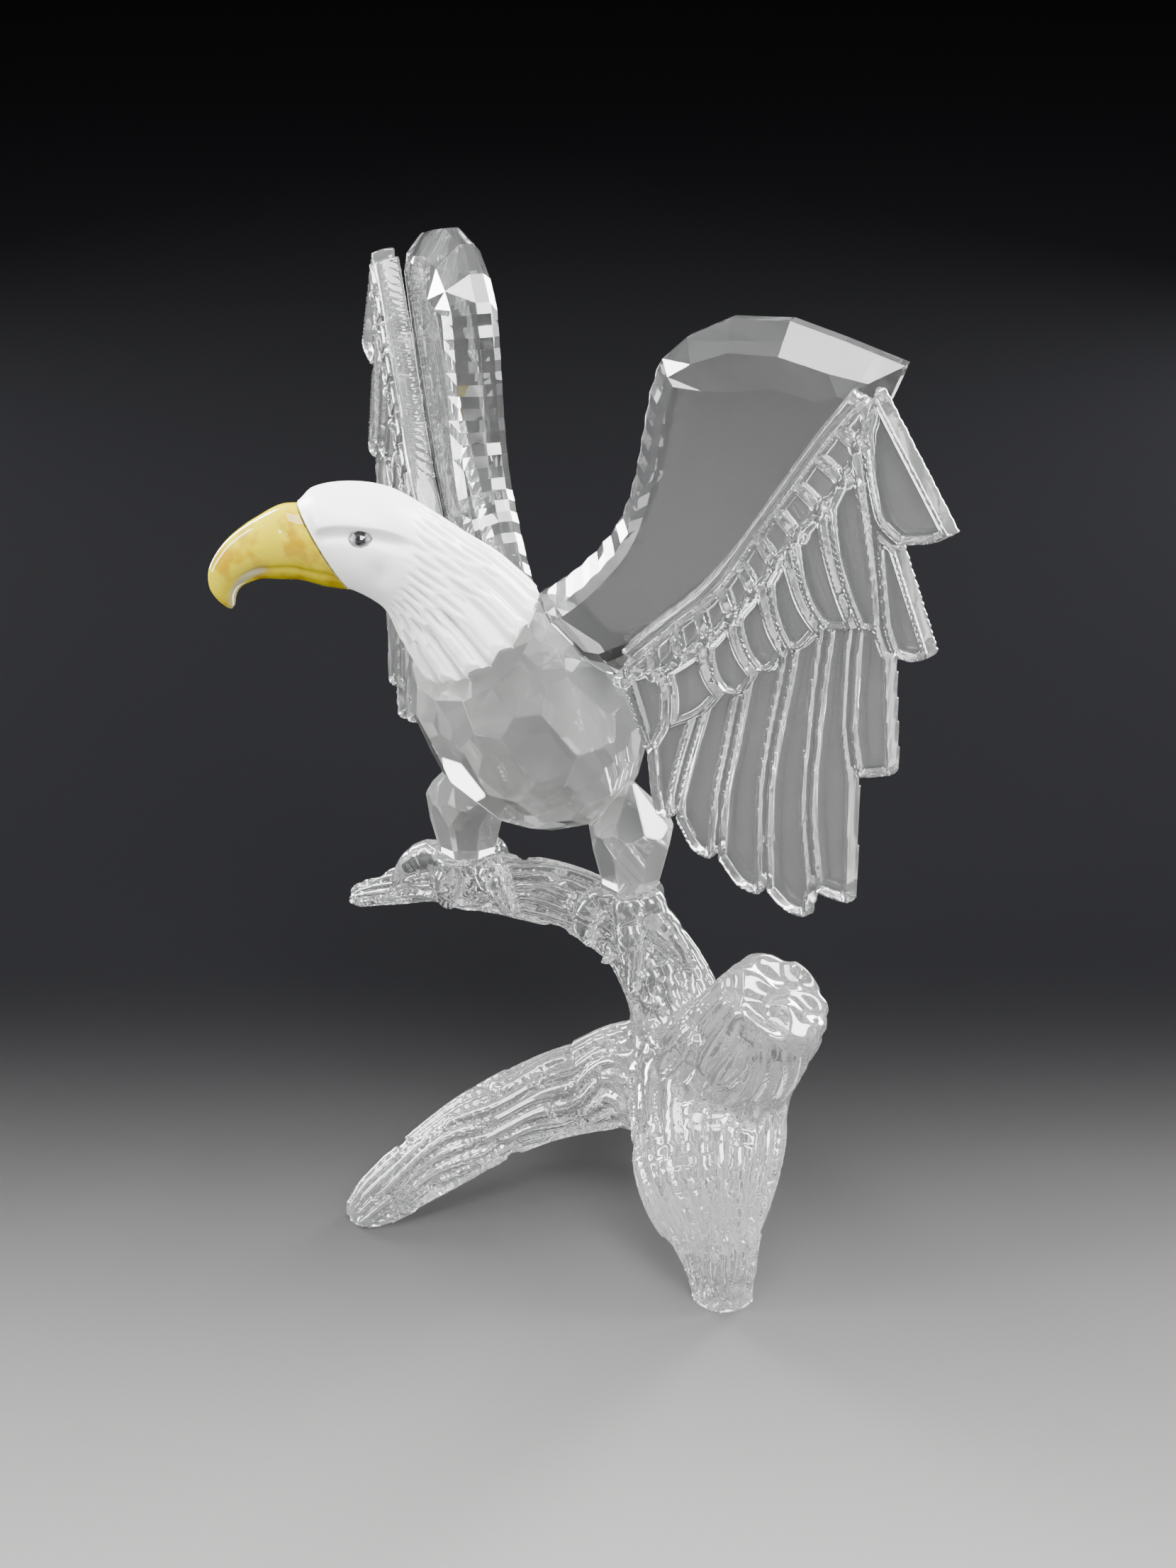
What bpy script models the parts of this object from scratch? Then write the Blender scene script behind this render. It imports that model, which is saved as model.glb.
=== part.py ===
"""A cut crystal eagle with raised wings, standing on a cast crystal branch.

The floor is z = 0, the bird faces -Y and its left side is +X. Lengths are metres.
The free form is laid out in shares of the figure's height; one share, UNIT, is about
a millimetre. Thicknesses, bevels and clearances are sizes of their own.
"""
import math

import bmesh
import bpy
import numpy as np
from mathutils import Vector

# Driving sizes
HEIGHT = 0.1114            # floor to the top of the wings
CLEARANCE = 0.0003         # glue gap between two pieces that touch
PLATE_THICKNESS = 0.0063   # cut wing plate, face to face
PLATE_BEVEL = 0.0039       # width of the slope ground round the plate's front face
PLATE_BACK_BEVEL = 0.0010  # width and height of the small bevel round its back face
PLATE_EDGE = 0.0017        # height of the plate's edge between its two bevels
VANE_THICKNESS = 0.0022    # pressed feather sheet at a feather's middle
VANE_RIB = 0.0008          # rib between two feathers, above the vane
VANE_TIP = 0.0014          # feather sheet at a feather's tip
ROW_STEP = 0.0009          # each row of short feathers stands this much prouder
TAIL_THICKNESS = 0.0026
EYE_LENGTH = 0.0023
EYE_HEIGHT = 0.0017
BARK_DEPTH = 0.0007        # ridge to furrow of the cast bark
GROOVE_DEPTH = 0.0006      # carved grooves of the neck feathers

# One share of the height, in which the free form is laid out
UNIT = HEIGHT / 111.4

# Body: an egg cut with rows of flat facets round its long axis
BODY_CENTRE = Vector((0.0, 0.0, 58.8)) * UNIT
BODY_LEAN = math.radians(38)       # the neck end leans this far forward of upright
BODY_RADIUS = 12.5 * UNIT
BODY_NECK_REACH = 20.0 * UNIT
BODY_TAIL_REACH = 15.8 * UNIT
BODY_TABLE = 15.5 * UNIT           # flat table that the head is seated on
# facet rows: angle from the neck end in degrees, facets in the row
BODY_ROWS = ((34, 9), (57, 13), (77, 13), (97, 13), (117, 13), (138, 9), (160, 6), (180, 1))

# Wings: each stands in its own upright plane
WING_SWEEP = math.radians(24.5)    # how far the plane runs back from square to the body
WING_OFFSET = 2.5 * UNIT           # the plane's distance from the body's middle line

# Head: sections from the beak's seat to the neck's rim, in the turned head's own
# frame: forward, up, half height, half width, tip of the section in degrees
HEAD_TURN = math.radians(35)
HEAD_CENTRE = Vector((-5.6, -19.6, 0.0)) * UNIT
HEAD_SECTIONS = (
    (5.0, 84.4, 5.9, 4.7, 28.6), (3.8, 84.9, 6.2, 5.7, 20.0), (1.9, 84.9, 6.3, 6.4, 9.0),
    (-0.4, 84.4, 6.3, 6.9, -4.0), (-2.9, 83.2, 6.3, 7.2, -17.0), (-5.0, 81.4, 6.4, 7.5, -29.0),
    (-7.0, 79.3, 6.9, 8.0, -40.0), (-9.1, 77.1, 7.7, 8.9, -48.0), (-10.7, 75.2, 8.1, 9.6, -52.0),
    (-11.9, 73.6, 8.3, 10.0, -54.0), (-12.8, 72.5, 8.3, 10.0, -55.0))
NECK_SCALLOPS = 14
BEAK_SECTIONS = (
    (5.0, 84.4, 5.8, 4.4, 28.6), (6.9, 84.6, 5.4, 4.0, 25.0), (9.0, 84.8, 4.5, 3.3, 20.0),
    (11.0, 84.5, 3.85, 2.8, 15.5), (12.8, 84.1, 3.3, 2.35, 13.0), (14.6, 83.1, 2.85, 2.0, 18.0),
    (15.8, 81.9, 2.45, 1.7, 29.0), (16.5, 80.5, 2.15, 1.4, 43.0), (16.6, 79.1, 1.7, 1.1, 56.0),
    (16.3, 78.2, 1.1, 0.8, 65.0), (15.9, 77.5, 0.35, 0.35, 78.0))
EYE_PLACE = (1.1, 5.7, 87.0)       # forward, sideways, up

# Wing plate outline, out along the wing and up, from the shoulder round to the rear
PLATE_OUTLINE = (
    (1.6, 75.8), (5.8, 79.1), (9.5, 83.1), (11.8, 86.5), (13.4, 91.1), (14.4, 96.5), (15.4, 102.2),
    (16.6, 105.8), (19.6, 108.4), (24.5, 110.9), (31.3, 111.4), (37.4, 109.9), (44.2, 108.0),
    (42.3, 103.2), (39.6, 97.5), (35.6, 89.9), (30.5, 82.7), (24.4, 76.1), (17.7, 70.5),
    (11.9, 67.2), (7.7, 67.1), (1.6, 71.9))

# Feather sheet: the rim laid on the plate, then the edges of its three rows of feathers
VANE_RIM = ((14.2, 72.7), (18.5, 77.0), (23.0, 80.7), (27.8, 85.3), (32.1, 90.9), (36.2, 97.4),
            (39.1, 103.2), (40.9, 106.9))
RUFFLE_EDGE = ((14.8, 69.6), (19.9, 73.4), (25.0, 77.3), (30.1, 82.0), (34.8, 87.9), (38.8, 94.7),
               (41.7, 101.2), (43.3, 105.7))
COVERT_EDGE = ((16.6, 64.5), (20.9, 65.5), (26.0, 68.5), (30.8, 72.2), (34.8, 76.1), (39.2, 79.8),
               (43.3, 85.8), (45.0, 95.5), (44.3, 103.6))
# each long feather's lower edge: its inner notch, its belly, its tip
FEATHER_EDGES = (
    ((17.8, 60.4), (18.6, 54.6), (20.8, 52.5)), ((21.7, 53.2), (23.5, 50.0), (26.4, 48.5)),
    ((27.1, 49.2), (29.5, 46.2), (32.4, 45.1)), ((33.2, 46.2), (35.9, 44.4), (38.4, 43.5)),
    ((38.9, 47.1), (41.1, 46.9), (43.5, 46.4)), ((43.3, 62.4), (45.1, 62.8), (47.5, 63.7)),
    ((47.0, 77.6), (49.0, 77.3), (51.0, 78.3)), ((47.8, 90.0), (50.0, 91.0), (52.4, 92.4)))
FEATHER_COLUMNS = 5                # grid columns across one long feather
RUFFLE_SCALLOPS = 11
COVERT_SCALLOPS = 7

# Tail fan, below and behind the body
TAIL_ROOT = Vector((0.0, 6.5, 51.0)) * UNIT
TAIL_LENGTH = 20.0 * UNIT
TAIL_TIP_WIDTH = 12.0 * UNIT
TAIL_ROOT_WIDTH = 7.0 * UNIT
TAIL_SWING = math.radians(40)
TAIL_FEATHERS = 5

# Thighs: cut barrels between the body and the feet
THIGH_BELLY_RADIUS = 4.9 * UNIT
THIGH_FOOT_RADIUS = 3.4 * UNIT
THIGH_HEIGHT = 13.2 * UNIT
THIGH_FACETS = 8
THIGH_FEET = {"left": Vector((12.0, 4.9, 39.4)) * UNIT, "right": Vector((-9.8, -3.1, 38.2)) * UNIT}

# Branch: limbs as points along the middle with a radius, in shares
PERCH = ((-26.0, -8.6, 26.6, 1.9), (-19.6, -6.2, 29.8, 2.8), (-14.0, -4.2, 32.2, 3.5),
         (-8.0, -2.1, 33.6, 3.9), (-2.0, 0.2, 34.3, 4.2), (3.8, 2.4, 34.2, 4.4), (9.6, 4.6, 32.6, 4.8),
         (15.0, 6.0, 29.0, 5.4), (19.0, 6.2, 23.6, 6.1), (22.0, 5.4, 18.0, 7.0), (24.5, 3.8, 13.5, 7.6))
STUMP = ((21.8, 3.8, 10.5, 4.8), (25.0, 3.0, 14.5, 7.6), (30.5, 3.2, 21.5, 8.8),
         (34.0, 3.3, 27.0, 8.3), (37.0, 3.3, 32.0, 7.4), (39.6, 3.3, 36.2, 6.9))
FRONT_ROOT = ((20.5, 5.0, 14.6, 5.4), (25.4, 3.4, 16.2, 8.0), (30.0, 1.2, 16.5, 9.7),
              (33.2, -1.8, 14.3, 9.7), (36.2, -4.6, 11.3, 8.3), (38.8, -6.2, 8.0, 6.0),
              (40.9, -7.0, 3.6, 4.6), (42.0, -7.2, -1.2, 3.8))
LEFT_ROOT = ((22.0, 4.0, 15.0, 7.2), (15.3, 3.0, 13.6, 7.0), (10.8, 0.0, 11.2, 6.3),
             (7.3, -5.1, 9.6, 5.7), (5.0, -12.7, 7.9, 5.2), (3.6, -20.5, 5.4, 4.6),
             (2.1, -27.0, 2.2, 3.7), (1.6, -29.2, 1.0, 3.0))
BACK_ROOT = ((22.0, 5.0, 15.0, 7.2), (13.0, 10.0, 11.5, 5.6), (5.5, 16.5, 7.0, 4.4),
             (0.0, 21.8, 2.6, 3.7), (-1.8, 23.6, 0.8, 3.1))
LIMBS = (PERCH, STUMP, FRONT_ROOT, LEFT_ROOT, BACK_ROOT)
# an ankle's points below and above its foot table: height, radius
ANKLE = ((-5.5, 3.0), (-3.0, 3.8), (-1.0, 3.9), (0.6, 3.6))
TOE_RADIUS = 1.75
TOE_TAPER = (1.25, 1.1, 1.0, 0.62, 0.25)   # share of the toe's radius at each joint
# each toe's joints, measured from the middle of the ankle's foot table
TOES = {
    "left": (((2.6, -2.9, -1.6), (4.6, -5.2, -4.6), (5.4, -5.9, -8.0), (5.2, -5.6, -11.6)),
             ((4.0, 0.2, -1.8), (6.8, 0.7, -4.4), (8.2, 1.2, -7.4), (8.4, 1.4, -9.6)),
             ((-1.0, -3.8, -0.9), (-1.6, -6.6, -2.8), (-1.7, -7.8, -5.8), (-1.5, -7.6, -8.6)),
             ((-1.4, 3.4, -1.8), (-1.8, 5.4, -4.4), (-1.6, 6.2, -7.0), (-1.4, 6.2, -9.4))),
    "right": (((-3.6, -1.8, -1.6), (-6.6, -3.0, -3.0), (-8.4, -3.9, -4.6), (-9.4, -5.2, -6.8)),
              ((0.5, -3.2, -0.9), (0.9, -5.2, -3.2), (0.9, -6.0, -6.4), (0.7, -5.6, -9.2)),
              ((4.0, -1.0, -0.3), (7.2, -2.0, -1.6), (9.2, -2.7, -4.2), (9.9, -2.8, -7.2)),
              ((-0.5, 3.6, -1.2), (-0.8, 5.4, -3.6), (-0.9, 5.8, -6.4), (-0.9, 5.6, -8.6)))}
BRANCH_VOXEL = 0.55 * UNIT
BRANCH_TRIANGLES = 4100

# Materials: colour, roughness
CLEAR = ("clear_crystal", (0.93, 0.95, 0.95), 0.03)
PRESSED = ("pressed_crystal", (0.92, 0.95, 0.95), 0.06)
FROSTED = ("frosted_crystal", (0.86, 0.88, 0.88), 0.55)
YELLOW = ("yellow_crystal", (0.93, 0.68, 0.04), 0.08)
DARK = ("dark_bead", (0.03, 0.025, 0.02), 0.15)


def clear_scene():
    for item in list(bpy.data.objects):
        bpy.data.objects.remove(item, do_unlink=True)


def material(name, colour, roughness):
    """The named material, made the first time it is asked for."""
    found = bpy.data.materials.get(name)
    if found:
        return found
    made = bpy.data.materials.new(name)
    made.use_nodes = True
    shader = made.node_tree.nodes["Principled BSDF"]
    shader.inputs["Base Color"].default_value = (*colour, 1.0)
    shader.inputs["Roughness"].default_value = roughness
    shader.inputs["Metallic"].default_value = 0.0
    return made


def add_object(name, points, faces, look, smooth=False):
    """A new object from points and faces, with its faces turned outward."""
    mesh = bpy.data.meshes.new(name)
    mesh.from_pydata([tuple(map(float, p)) for p in points], [], faces)
    work = bmesh.new()
    work.from_mesh(mesh)
    bmesh.ops.recalc_face_normals(work, faces=work.faces)
    work.to_mesh(mesh)
    work.free()
    if smooth:
        mesh.shade_smooth()
        mesh.set_sharp_from_angle(angle=math.radians(40))
    made = bpy.data.objects.new(name, mesh)
    bpy.context.scene.collection.objects.link(made)
    mesh.materials.append(material(*look))
    return made


def as_cutter(item):
    item.hide_render = True
    item.display_type = "WIRE"
    return item


def cut_by(item, cutter):
    step = item.modifiers.new("seat_" + cutter.name, "BOOLEAN")
    step.operation = "DIFFERENCE"
    step.solver = "EXACT"
    step.object = cutter


def smooth_curve(points, count):
    """Points evenly spread along a Catmull-Rom curve through the given ones."""
    p = np.asarray(points, float)
    p = np.vstack([2 * p[0] - p[1], p, 2 * p[-1] - p[-2]])
    spans = len(p) - 3
    fine = []
    for i in range(spans):
        a, b, c, d = p[i:i + 4]
        for t in np.linspace(0, 1, 24, endpoint=False):
            fine.append(0.5 * (2 * b + (c - a) * t + (2 * a - 5 * b + 4 * c - d) * t ** 2
                               + (3 * b - a - 3 * c + d) * t ** 3))
    fine.append(p[-2])
    fine = np.array(fine)
    walked = np.concatenate([[0], np.cumsum(np.linalg.norm(np.diff(fine[:, :3], axis=0), axis=1))])
    at = np.linspace(0, walked[-1], count)
    return np.column_stack([np.interp(at, walked, fine[:, k]) for k in range(p.shape[1])])


def skin_rings(rings):
    """Points and faces of a closed skin over a row of rings, flat at both ends."""
    rings = np.asarray(rings, float)
    rows, around = rings.shape[:2]
    faces = []
    for i in range(rows - 1):
        for j in range(around):
            k = (j + 1) % around
            faces.append((i * around + j, i * around + k, (i + 1) * around + k, (i + 1) * around + j))
    faces.append(tuple(range(around - 1, -1, -1)))
    faces.append(tuple(range((rows - 1) * around, rows * around)))
    return rings.reshape(-1, 3), faces


def cut_stone(name, cuts, reach, look):
    """A blank block ground down by flat cuts, each a normal and its distance out."""
    work = bmesh.new()
    bmesh.ops.create_cube(work, size=2 * reach)
    for normal, distance in cuts:
        ground = bmesh.ops.bisect_plane(
            work, geom=work.verts[:] + work.edges[:] + work.faces[:], dist=1e-7,
            plane_co=normal * distance, plane_no=normal, clear_outer=True)
        rim = [g for g in ground["geom_cut"] if isinstance(g, bmesh.types.BMEdge)]
        if rim:
            bmesh.ops.edgeloop_fill(work, edges=rim)
    bmesh.ops.dissolve_limit(work, angle_limit=math.radians(0.5), verts=work.verts, edges=work.edges)
    work.normal_update()
    work.verts.ensure_lookup_table()
    points = [v.co.copy() for v in work.verts]
    faces = [tuple(v.index for v in f.verts) for f in work.faces]
    work.free()
    return add_object(name, points, faces, look)


def around_axis(polar, turn):
    """Unit vector at an angle from +Z and a turn round it."""
    return Vector((math.sin(polar) * math.cos(turn), math.sin(polar) * math.sin(turn), math.cos(polar)))


def make_body(name, grow=0.0):
    """The egg's facets touch an ellipsoid, fuller toward the neck, in staggered rows."""
    cuts = [(Vector((0, 0, 1)), BODY_TABLE + grow)]
    for row, (degrees, count) in enumerate(BODY_ROWS):
        polar = math.radians(degrees)
        along = BODY_NECK_REACH if degrees < 90 else BODY_TAIL_REACH
        distance = math.hypot(along * math.cos(polar), BODY_RADIUS * math.sin(polar))
        for k in range(count):
            turn = math.tau * (k + 0.5 * (row % 2)) / count
            cuts.append((around_axis(polar, turn), distance + grow))
    body = cut_stone(name, cuts, 2 * BODY_NECK_REACH, CLEAR)
    body.location = BODY_CENTRE
    body.rotation_euler.x = BODY_LEAN
    return body


def make_thigh(name, side, grow=0.0):
    """Staggered rows of facets flare from the foot table to a belly, then close to the top."""
    belly = 0.5 * THIGH_HEIGHT
    flare = math.atan2(THIGH_BELLY_RADIUS - THIGH_FOOT_RADIUS, belly)
    rows = ((flare, THIGH_FOOT_RADIUS, 0.0), (0.0, THIGH_BELLY_RADIUS, belly),
            (math.radians(-40), THIGH_BELLY_RADIUS, belly + 0.1 * THIGH_HEIGHT))
    cuts = [(Vector((0, 0, -1)), grow), (Vector((0, 0, 1)), THIGH_HEIGHT + grow)]
    for row, (lean, radius, level) in enumerate(rows):
        for k in range(THIGH_FACETS):
            turn = math.tau * (k + 0.5 * row) / THIGH_FACETS
            normal = around_axis(math.pi / 2 + lean, turn)
            at = Vector((radius * math.cos(turn), radius * math.sin(turn), level))
            cuts.append((normal, normal.dot(at) + grow))
    thigh = cut_stone(name, cuts, 2 * THIGH_HEIGHT, CLEAR)
    thigh.location = THIGH_FEET[side]
    return thigh


def head_frame(item):
    item.location = HEAD_CENTRE
    item.rotation_euler.z = -math.pi / 2 - HEAD_TURN


def lofted_sections(sections, rows, around, shape):
    """Rings over smoothed sections; shape gives (radial push, push along) at share and turn."""
    steps = smooth_curve(np.array(sections), rows)
    rings = []
    for i, (x, z, tall, wide, tip) in enumerate(steps):
        share = i / (rows - 1)
        tip = math.radians(tip)
        up = np.array([math.sin(tip), 0.0, math.cos(tip)])
        along = np.array([math.cos(tip), 0.0, -math.sin(tip)])
        ring = []
        for j in range(around):
            turn = math.tau * j / around
            push, shift = shape(share, turn)
            spread = (tall * UNIT + push) * math.cos(turn) * up
            spread = spread + (wide * UNIT + push) * math.sin(turn) * np.array([0.0, 1.0, 0.0])
            ring.append(np.array([x, 0.0, z]) * UNIT + spread + shift * along)
        rings.append(ring)
    return rings


def make_head(name, grow=0.0):
    """Skull and neck in one skin: smooth crown, brows, then grooves that end in scallops."""
    def shape(share, turn):
        feathered = min(1.0, max(0.0, (share - 0.42) / 0.3))
        groove = -GROOVE_DEPTH * feathered * (0.5 - 0.5 * math.cos(NECK_SCALLOPS * turn))
        brow = 0.5 * UNIT * math.exp(-((share - 0.25) / 0.09) ** 2)
        brow *= math.exp(-((abs(math.remainder(turn, math.tau)) - 0.95) / 0.22) ** 2)
        scallop = 0.5 * UNIT * math.cos(NECK_SCALLOPS * turn) * max(0.0, (share - 0.85) / 0.15)
        return groove + brow + grow, -scallop
    rings = np.array(lofted_sections(HEAD_SECTIONS, 15, 3 * NECK_SCALLOPS, shape))
    for end, inner in ((0, 1), (-1, -2)):
        outward = rings[end].mean(axis=0) - rings[inner].mean(axis=0)
        rings[end] += grow * outward / np.linalg.norm(outward)
    points, faces = skin_rings(rings)
    head = add_object(name, points, faces, FROSTED, smooth=True)
    head_frame(head)
    return head


def make_beak():
    """The beak is seated on the head's flat front with the glue gap between them."""
    seat = math.radians(BEAK_SECTIONS[0][4])
    points, faces = skin_rings(lofted_sections(BEAK_SECTIONS, 13, 14, lambda share, turn: (0.0, 0.0)))
    lift = CLEARANCE * np.array([math.cos(seat), 0.0, -math.sin(seat)])
    beak = add_object("beak", points + lift, faces, YELLOW, smooth=True)
    head_frame(beak)
    return beak


def make_eye(name, side, grow=0.0):
    """A small bead set in the side of the head, long from beak to neck."""
    rings = []
    for polar in np.linspace(0.25, math.pi - 0.25, 6):
        ring = []
        for j in range(8):
            turn = math.tau * j / 8
            ring.append(((EYE_LENGTH / 2 + grow) * math.sin(polar) * math.cos(turn),
                         (EYE_HEIGHT / 2 + grow) * math.cos(polar),
                         (EYE_HEIGHT / 2 + grow) * math.sin(polar) * math.sin(turn)))
        rings.append(ring)
    points, faces = skin_rings(rings)
    forward, sideways, up = EYE_PLACE
    points = points + np.array([forward, side * sideways, up]) * UNIT
    eye = add_object(name, points, faces, DARK, smooth=True)
    head_frame(eye)
    return eye


def wing_frame(item, side):
    item.location = Vector((side * math.sin(WING_SWEEP), -math.cos(WING_SWEEP), 0.0)) * WING_OFFSET
    item.rotation_euler.z = side * WING_SWEEP


def inset_outline(outline, width):
    """The outline moved in by a width, corner by corner."""
    before = outline - np.roll(outline, 1, axis=0)
    after = np.roll(outline, -1, axis=0) - outline
    normals = []
    for edge in (before, after):
        unit = edge / np.linalg.norm(edge, axis=1)[:, None]
        normals.append(np.column_stack([unit[:, 1], -unit[:, 0]]))
    middle = normals[0] + normals[1]
    middle /= np.einsum("ij,ij->i", middle, normals[0])[:, None]
    return outline + width * middle


def make_plate(name, side):
    """A thick flat plate with straight ground edges and a bevel round both faces."""
    outline = np.array(PLATE_OUTLINE) * UNIT
    back = -PLATE_THICKNESS / 2
    rings = []
    for ring, depth in ((inset_outline(outline, PLATE_BACK_BEVEL), back),
                        (outline, back + PLATE_BACK_BEVEL),
                        (outline, back + PLATE_BACK_BEVEL + PLATE_EDGE),
                        (inset_outline(outline, PLATE_BEVEL), -back)):
        rings.append([(side * a, -depth, z) for a, z in ring])
    points, faces = skin_rings(rings)
    plate = add_object(name, points, faces, CLEAR)
    wing_frame(plate, side)
    return plate


def sheet_solid(front, depth, side):
    """A closed sheet: a relief grid in front, side walls, and a flat back at zero depth."""
    rows, columns = depth.shape
    place = np.dstack([side * front[:, :, 0], -depth, front[:, :, 1]])
    points = [tuple(p) for p in place.reshape(-1, 3)]
    faces = []
    for i in range(rows - 1):
        for j in range(columns - 1):
            a = i * columns + j
            faces.append((a, a + 1, a + columns + 1, a + columns))
    edge = list(range(columns))
    edge += [i * columns + columns - 1 for i in range(1, rows)]
    edge += [(rows - 1) * columns + j for j in range(columns - 2, -1, -1)]
    edge += [i * columns for i in range(rows - 2, 0, -1)]
    back = []
    for e in edge:
        back.append(len(points))
        points.append((points[e][0], 0.0, points[e][2]))
    for k in range(len(edge)):
        n = (k + 1) % len(edge)
        faces.append((edge[k], edge[n], back[n], back[k]))
    faces.append(tuple(reversed(back)))
    return points, faces


def vane_columns():
    """Each column's place along the rim and its foot on the feathers' lower edges."""
    along, foot, across = [], [], []
    gap = 0.08
    for k, edge in enumerate(FEATHER_EDGES):
        shares = np.linspace(0, 1, FEATHER_COLUMNS)
        curve = smooth_curve(edge, FEATHER_COLUMNS)
        for share, point in zip(shares, curve):
            along.append((k + gap + share * (1 - 2 * gap)) / len(FEATHER_EDGES))
            foot.append(point)
            across.append(share)
    return np.array(along), np.array(foot), np.array(across)


def read_curve(points, along):
    fine = smooth_curve(points, 200)
    at = np.linspace(0, 1, len(fine))
    return np.column_stack([np.interp(along, at, fine[:, k]) for k in range(2)])


def make_vane(name, side):
    """Three rows of feathers: a ruffle on the rim, the coverts, then the long feathers."""
    along, foot, across = vane_columns()
    rim = read_curve(VANE_RIM, along)
    ruffle = read_curve(RUFFLE_EDGE, along)
    covert = read_curve(COVERT_EDGE, along)
    bulge = np.abs(np.sin(math.pi * RUFFLE_SCALLOPS * along))
    lobe = np.abs(np.sin(math.pi * COVERT_SCALLOPS * along))
    ruffle = ruffle + (ruffle - rim) * (0.35 * bulge - 0.25)[:, None]
    covert = covert + (covert - ruffle) * (0.30 * lobe - 0.20)[:, None]
    rib = VANE_RIB * (1 - np.sin(math.pi * across)) ** 2
    base = VANE_THICKNESS + rib
    rows = [rim, 0.5 * (rim + ruffle), ruffle, ruffle + 0.12 * (covert - ruffle),
            0.5 * (ruffle + covert), covert, covert + 0.05 * (foot - covert)]
    depths = [base + ROW_STEP * (0.6 + 0.6 * bulge), base + ROW_STEP * (1.2 + 0.8 * bulge),
              base + ROW_STEP * (1.1 + 0.7 * bulge), base + ROW_STEP * (0.2 + 0.6 * lobe),
              base + ROW_STEP * (0.4 + 0.7 * lobe), base + ROW_STEP * (0.5 + 0.7 * lobe), base]
    for share in (0.3, 0.55, 0.8):
        rows.append(covert + share * (foot - covert))
        depths.append(base)
    rows.append(foot)
    depths.append(np.full(len(foot), VANE_TIP))
    points, faces = sheet_solid(np.array(rows) * UNIT, np.array(depths), side)
    lift = (0.0, -PLATE_THICKNESS / 2 - CLEARANCE, 0.0)
    vane = add_object(name, np.array(points) + lift, faces, PRESSED)
    wing_frame(vane, side)
    return vane


def make_tail():
    """A short fan of long feathers, narrow at the body and scalloped at its end."""
    columns = 4 * TAIL_FEATHERS + 1
    across = np.linspace(-1, 1, columns)
    rib = np.abs(np.cos(math.pi * TAIL_FEATHERS * (across + 1) / 2))
    rows, depths = [], []
    for share in np.linspace(0, 1, 6):
        width = TAIL_ROOT_WIDTH + (TAIL_TIP_WIDTH - TAIL_ROOT_WIDTH) * share ** 0.8
        reach = TAIL_LENGTH * (1 - 0.10 * across ** 2 - 0.06 * rib)
        rows.append(np.column_stack([0.5 * width * across, -share * reach]))
        depths.append(TAIL_THICKNESS * (0.8 + 0.3 * rib) * (1 - 0.35 * share))
    points, faces = sheet_solid(np.array(rows), np.array(depths), 1)
    tail = add_object("tail", points, faces, PRESSED)
    tail.location = TAIL_ROOT
    tail.rotation_euler.x = TAIL_SWING
    return tail


def limb_rings(path, rows, around, ridges):
    """Rings square to a path of points and radii, with bark ridges running along it."""
    steps = smooth_curve(np.array(path), rows)
    heads = np.gradient(steps[:, :3], axis=0)
    heads /= np.linalg.norm(heads, axis=1)[:, None]
    side = np.cross(heads[0], (0.0, 0.3, 1.0))
    rings = []
    for i, step in enumerate(steps):
        side = side - heads[i] * np.dot(side, heads[i])
        side /= np.linalg.norm(side)
        other = np.cross(heads[i], side)
        ring = []
        for j in range(around):
            turn = math.tau * j / around
            radius = step[3] * UNIT - ridges * 0.5 * (1 + math.cos(9 * turn + 2.5 * i / rows))
            ring.append(step[:3] * UNIT + radius * (math.cos(turn) * side + math.sin(turn) * other))
        rings.append(ring)
    return rings


def toe_path(ankle, joints):
    """A toe runs from the ankle over its joints and ends in a fine talon."""
    middle = np.array(ankle) / UNIT
    places = np.vstack([middle + (0.0, 0.0, -2.2), middle + np.array(joints)])
    return np.column_stack([places, TOE_RADIUS * np.array(TOE_TAPER)])


def make_branch():
    """The limbs, ankles and toes melt into one casting, then the seats are ground in."""
    points, faces = [], []

    def gather(rings):
        some, their = skin_rings(rings)
        faces.extend(tuple(v + len(points) for v in f) for f in their)
        points.extend(some)

    for path in LIMBS:
        gather(limb_rings(path, 26, 36, BARK_DEPTH))
    for side, toes in TOES.items():
        ankle = THIGH_FEET[side]
        for joints in toes:
            path = smooth_curve(toe_path(ankle, joints), 22)
            knuckles = 1 + 0.16 * np.cos(np.linspace(0, 5 * math.tau, 22))
            path[:, 3] *= np.where(np.arange(22) < 15, knuckles, 1.0)
            gather(limb_rings(path, 22, 10, 0.0))
        stub = [(*(ankle / UNIT + Vector((0, 0, z))), r) for z, r in ANKLE]
        gather(limb_rings(stub, 8, 14, 0.0))
    branch = add_object("branch", points, faces, CLEAR, smooth=True)
    cast = branch.modifiers.new("cast", "REMESH")
    cast.mode = "VOXEL"
    cast.voxel_size = BRANCH_VOXEL
    soften = branch.modifiers.new("soften", "SMOOTH")
    soften.factor = 0.5
    soften.iterations = 2
    scene_state = bpy.context.evaluated_depsgraph_get()
    melted = branch.evaluated_get(scene_state).to_mesh()
    dense = 2 * len(melted.polygons)
    thin = branch.modifiers.new("thin", "DECIMATE")
    thin.ratio = min(1.0, BRANCH_TRIANGLES / dense)
    return branch


def make_floor_cutter():
    """A block under the floor that grinds the roots' undersides flat."""
    reach = HEIGHT
    box = [(sx * reach, sy * reach, z) for z in (-0.2 * HEIGHT, 0.0) for sx, sy in (
        (-1, -1), (1, -1), (1, 1), (-1, 1))]
    sides = [(0, 1, 2, 3), (4, 5, 6, 7)] + [(i, (i + 1) % 4, 4 + (i + 1) % 4, 4 + i) for i in range(4)]
    return as_cutter(add_object("floor_cutter", box, sides, CLEAR))


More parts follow.
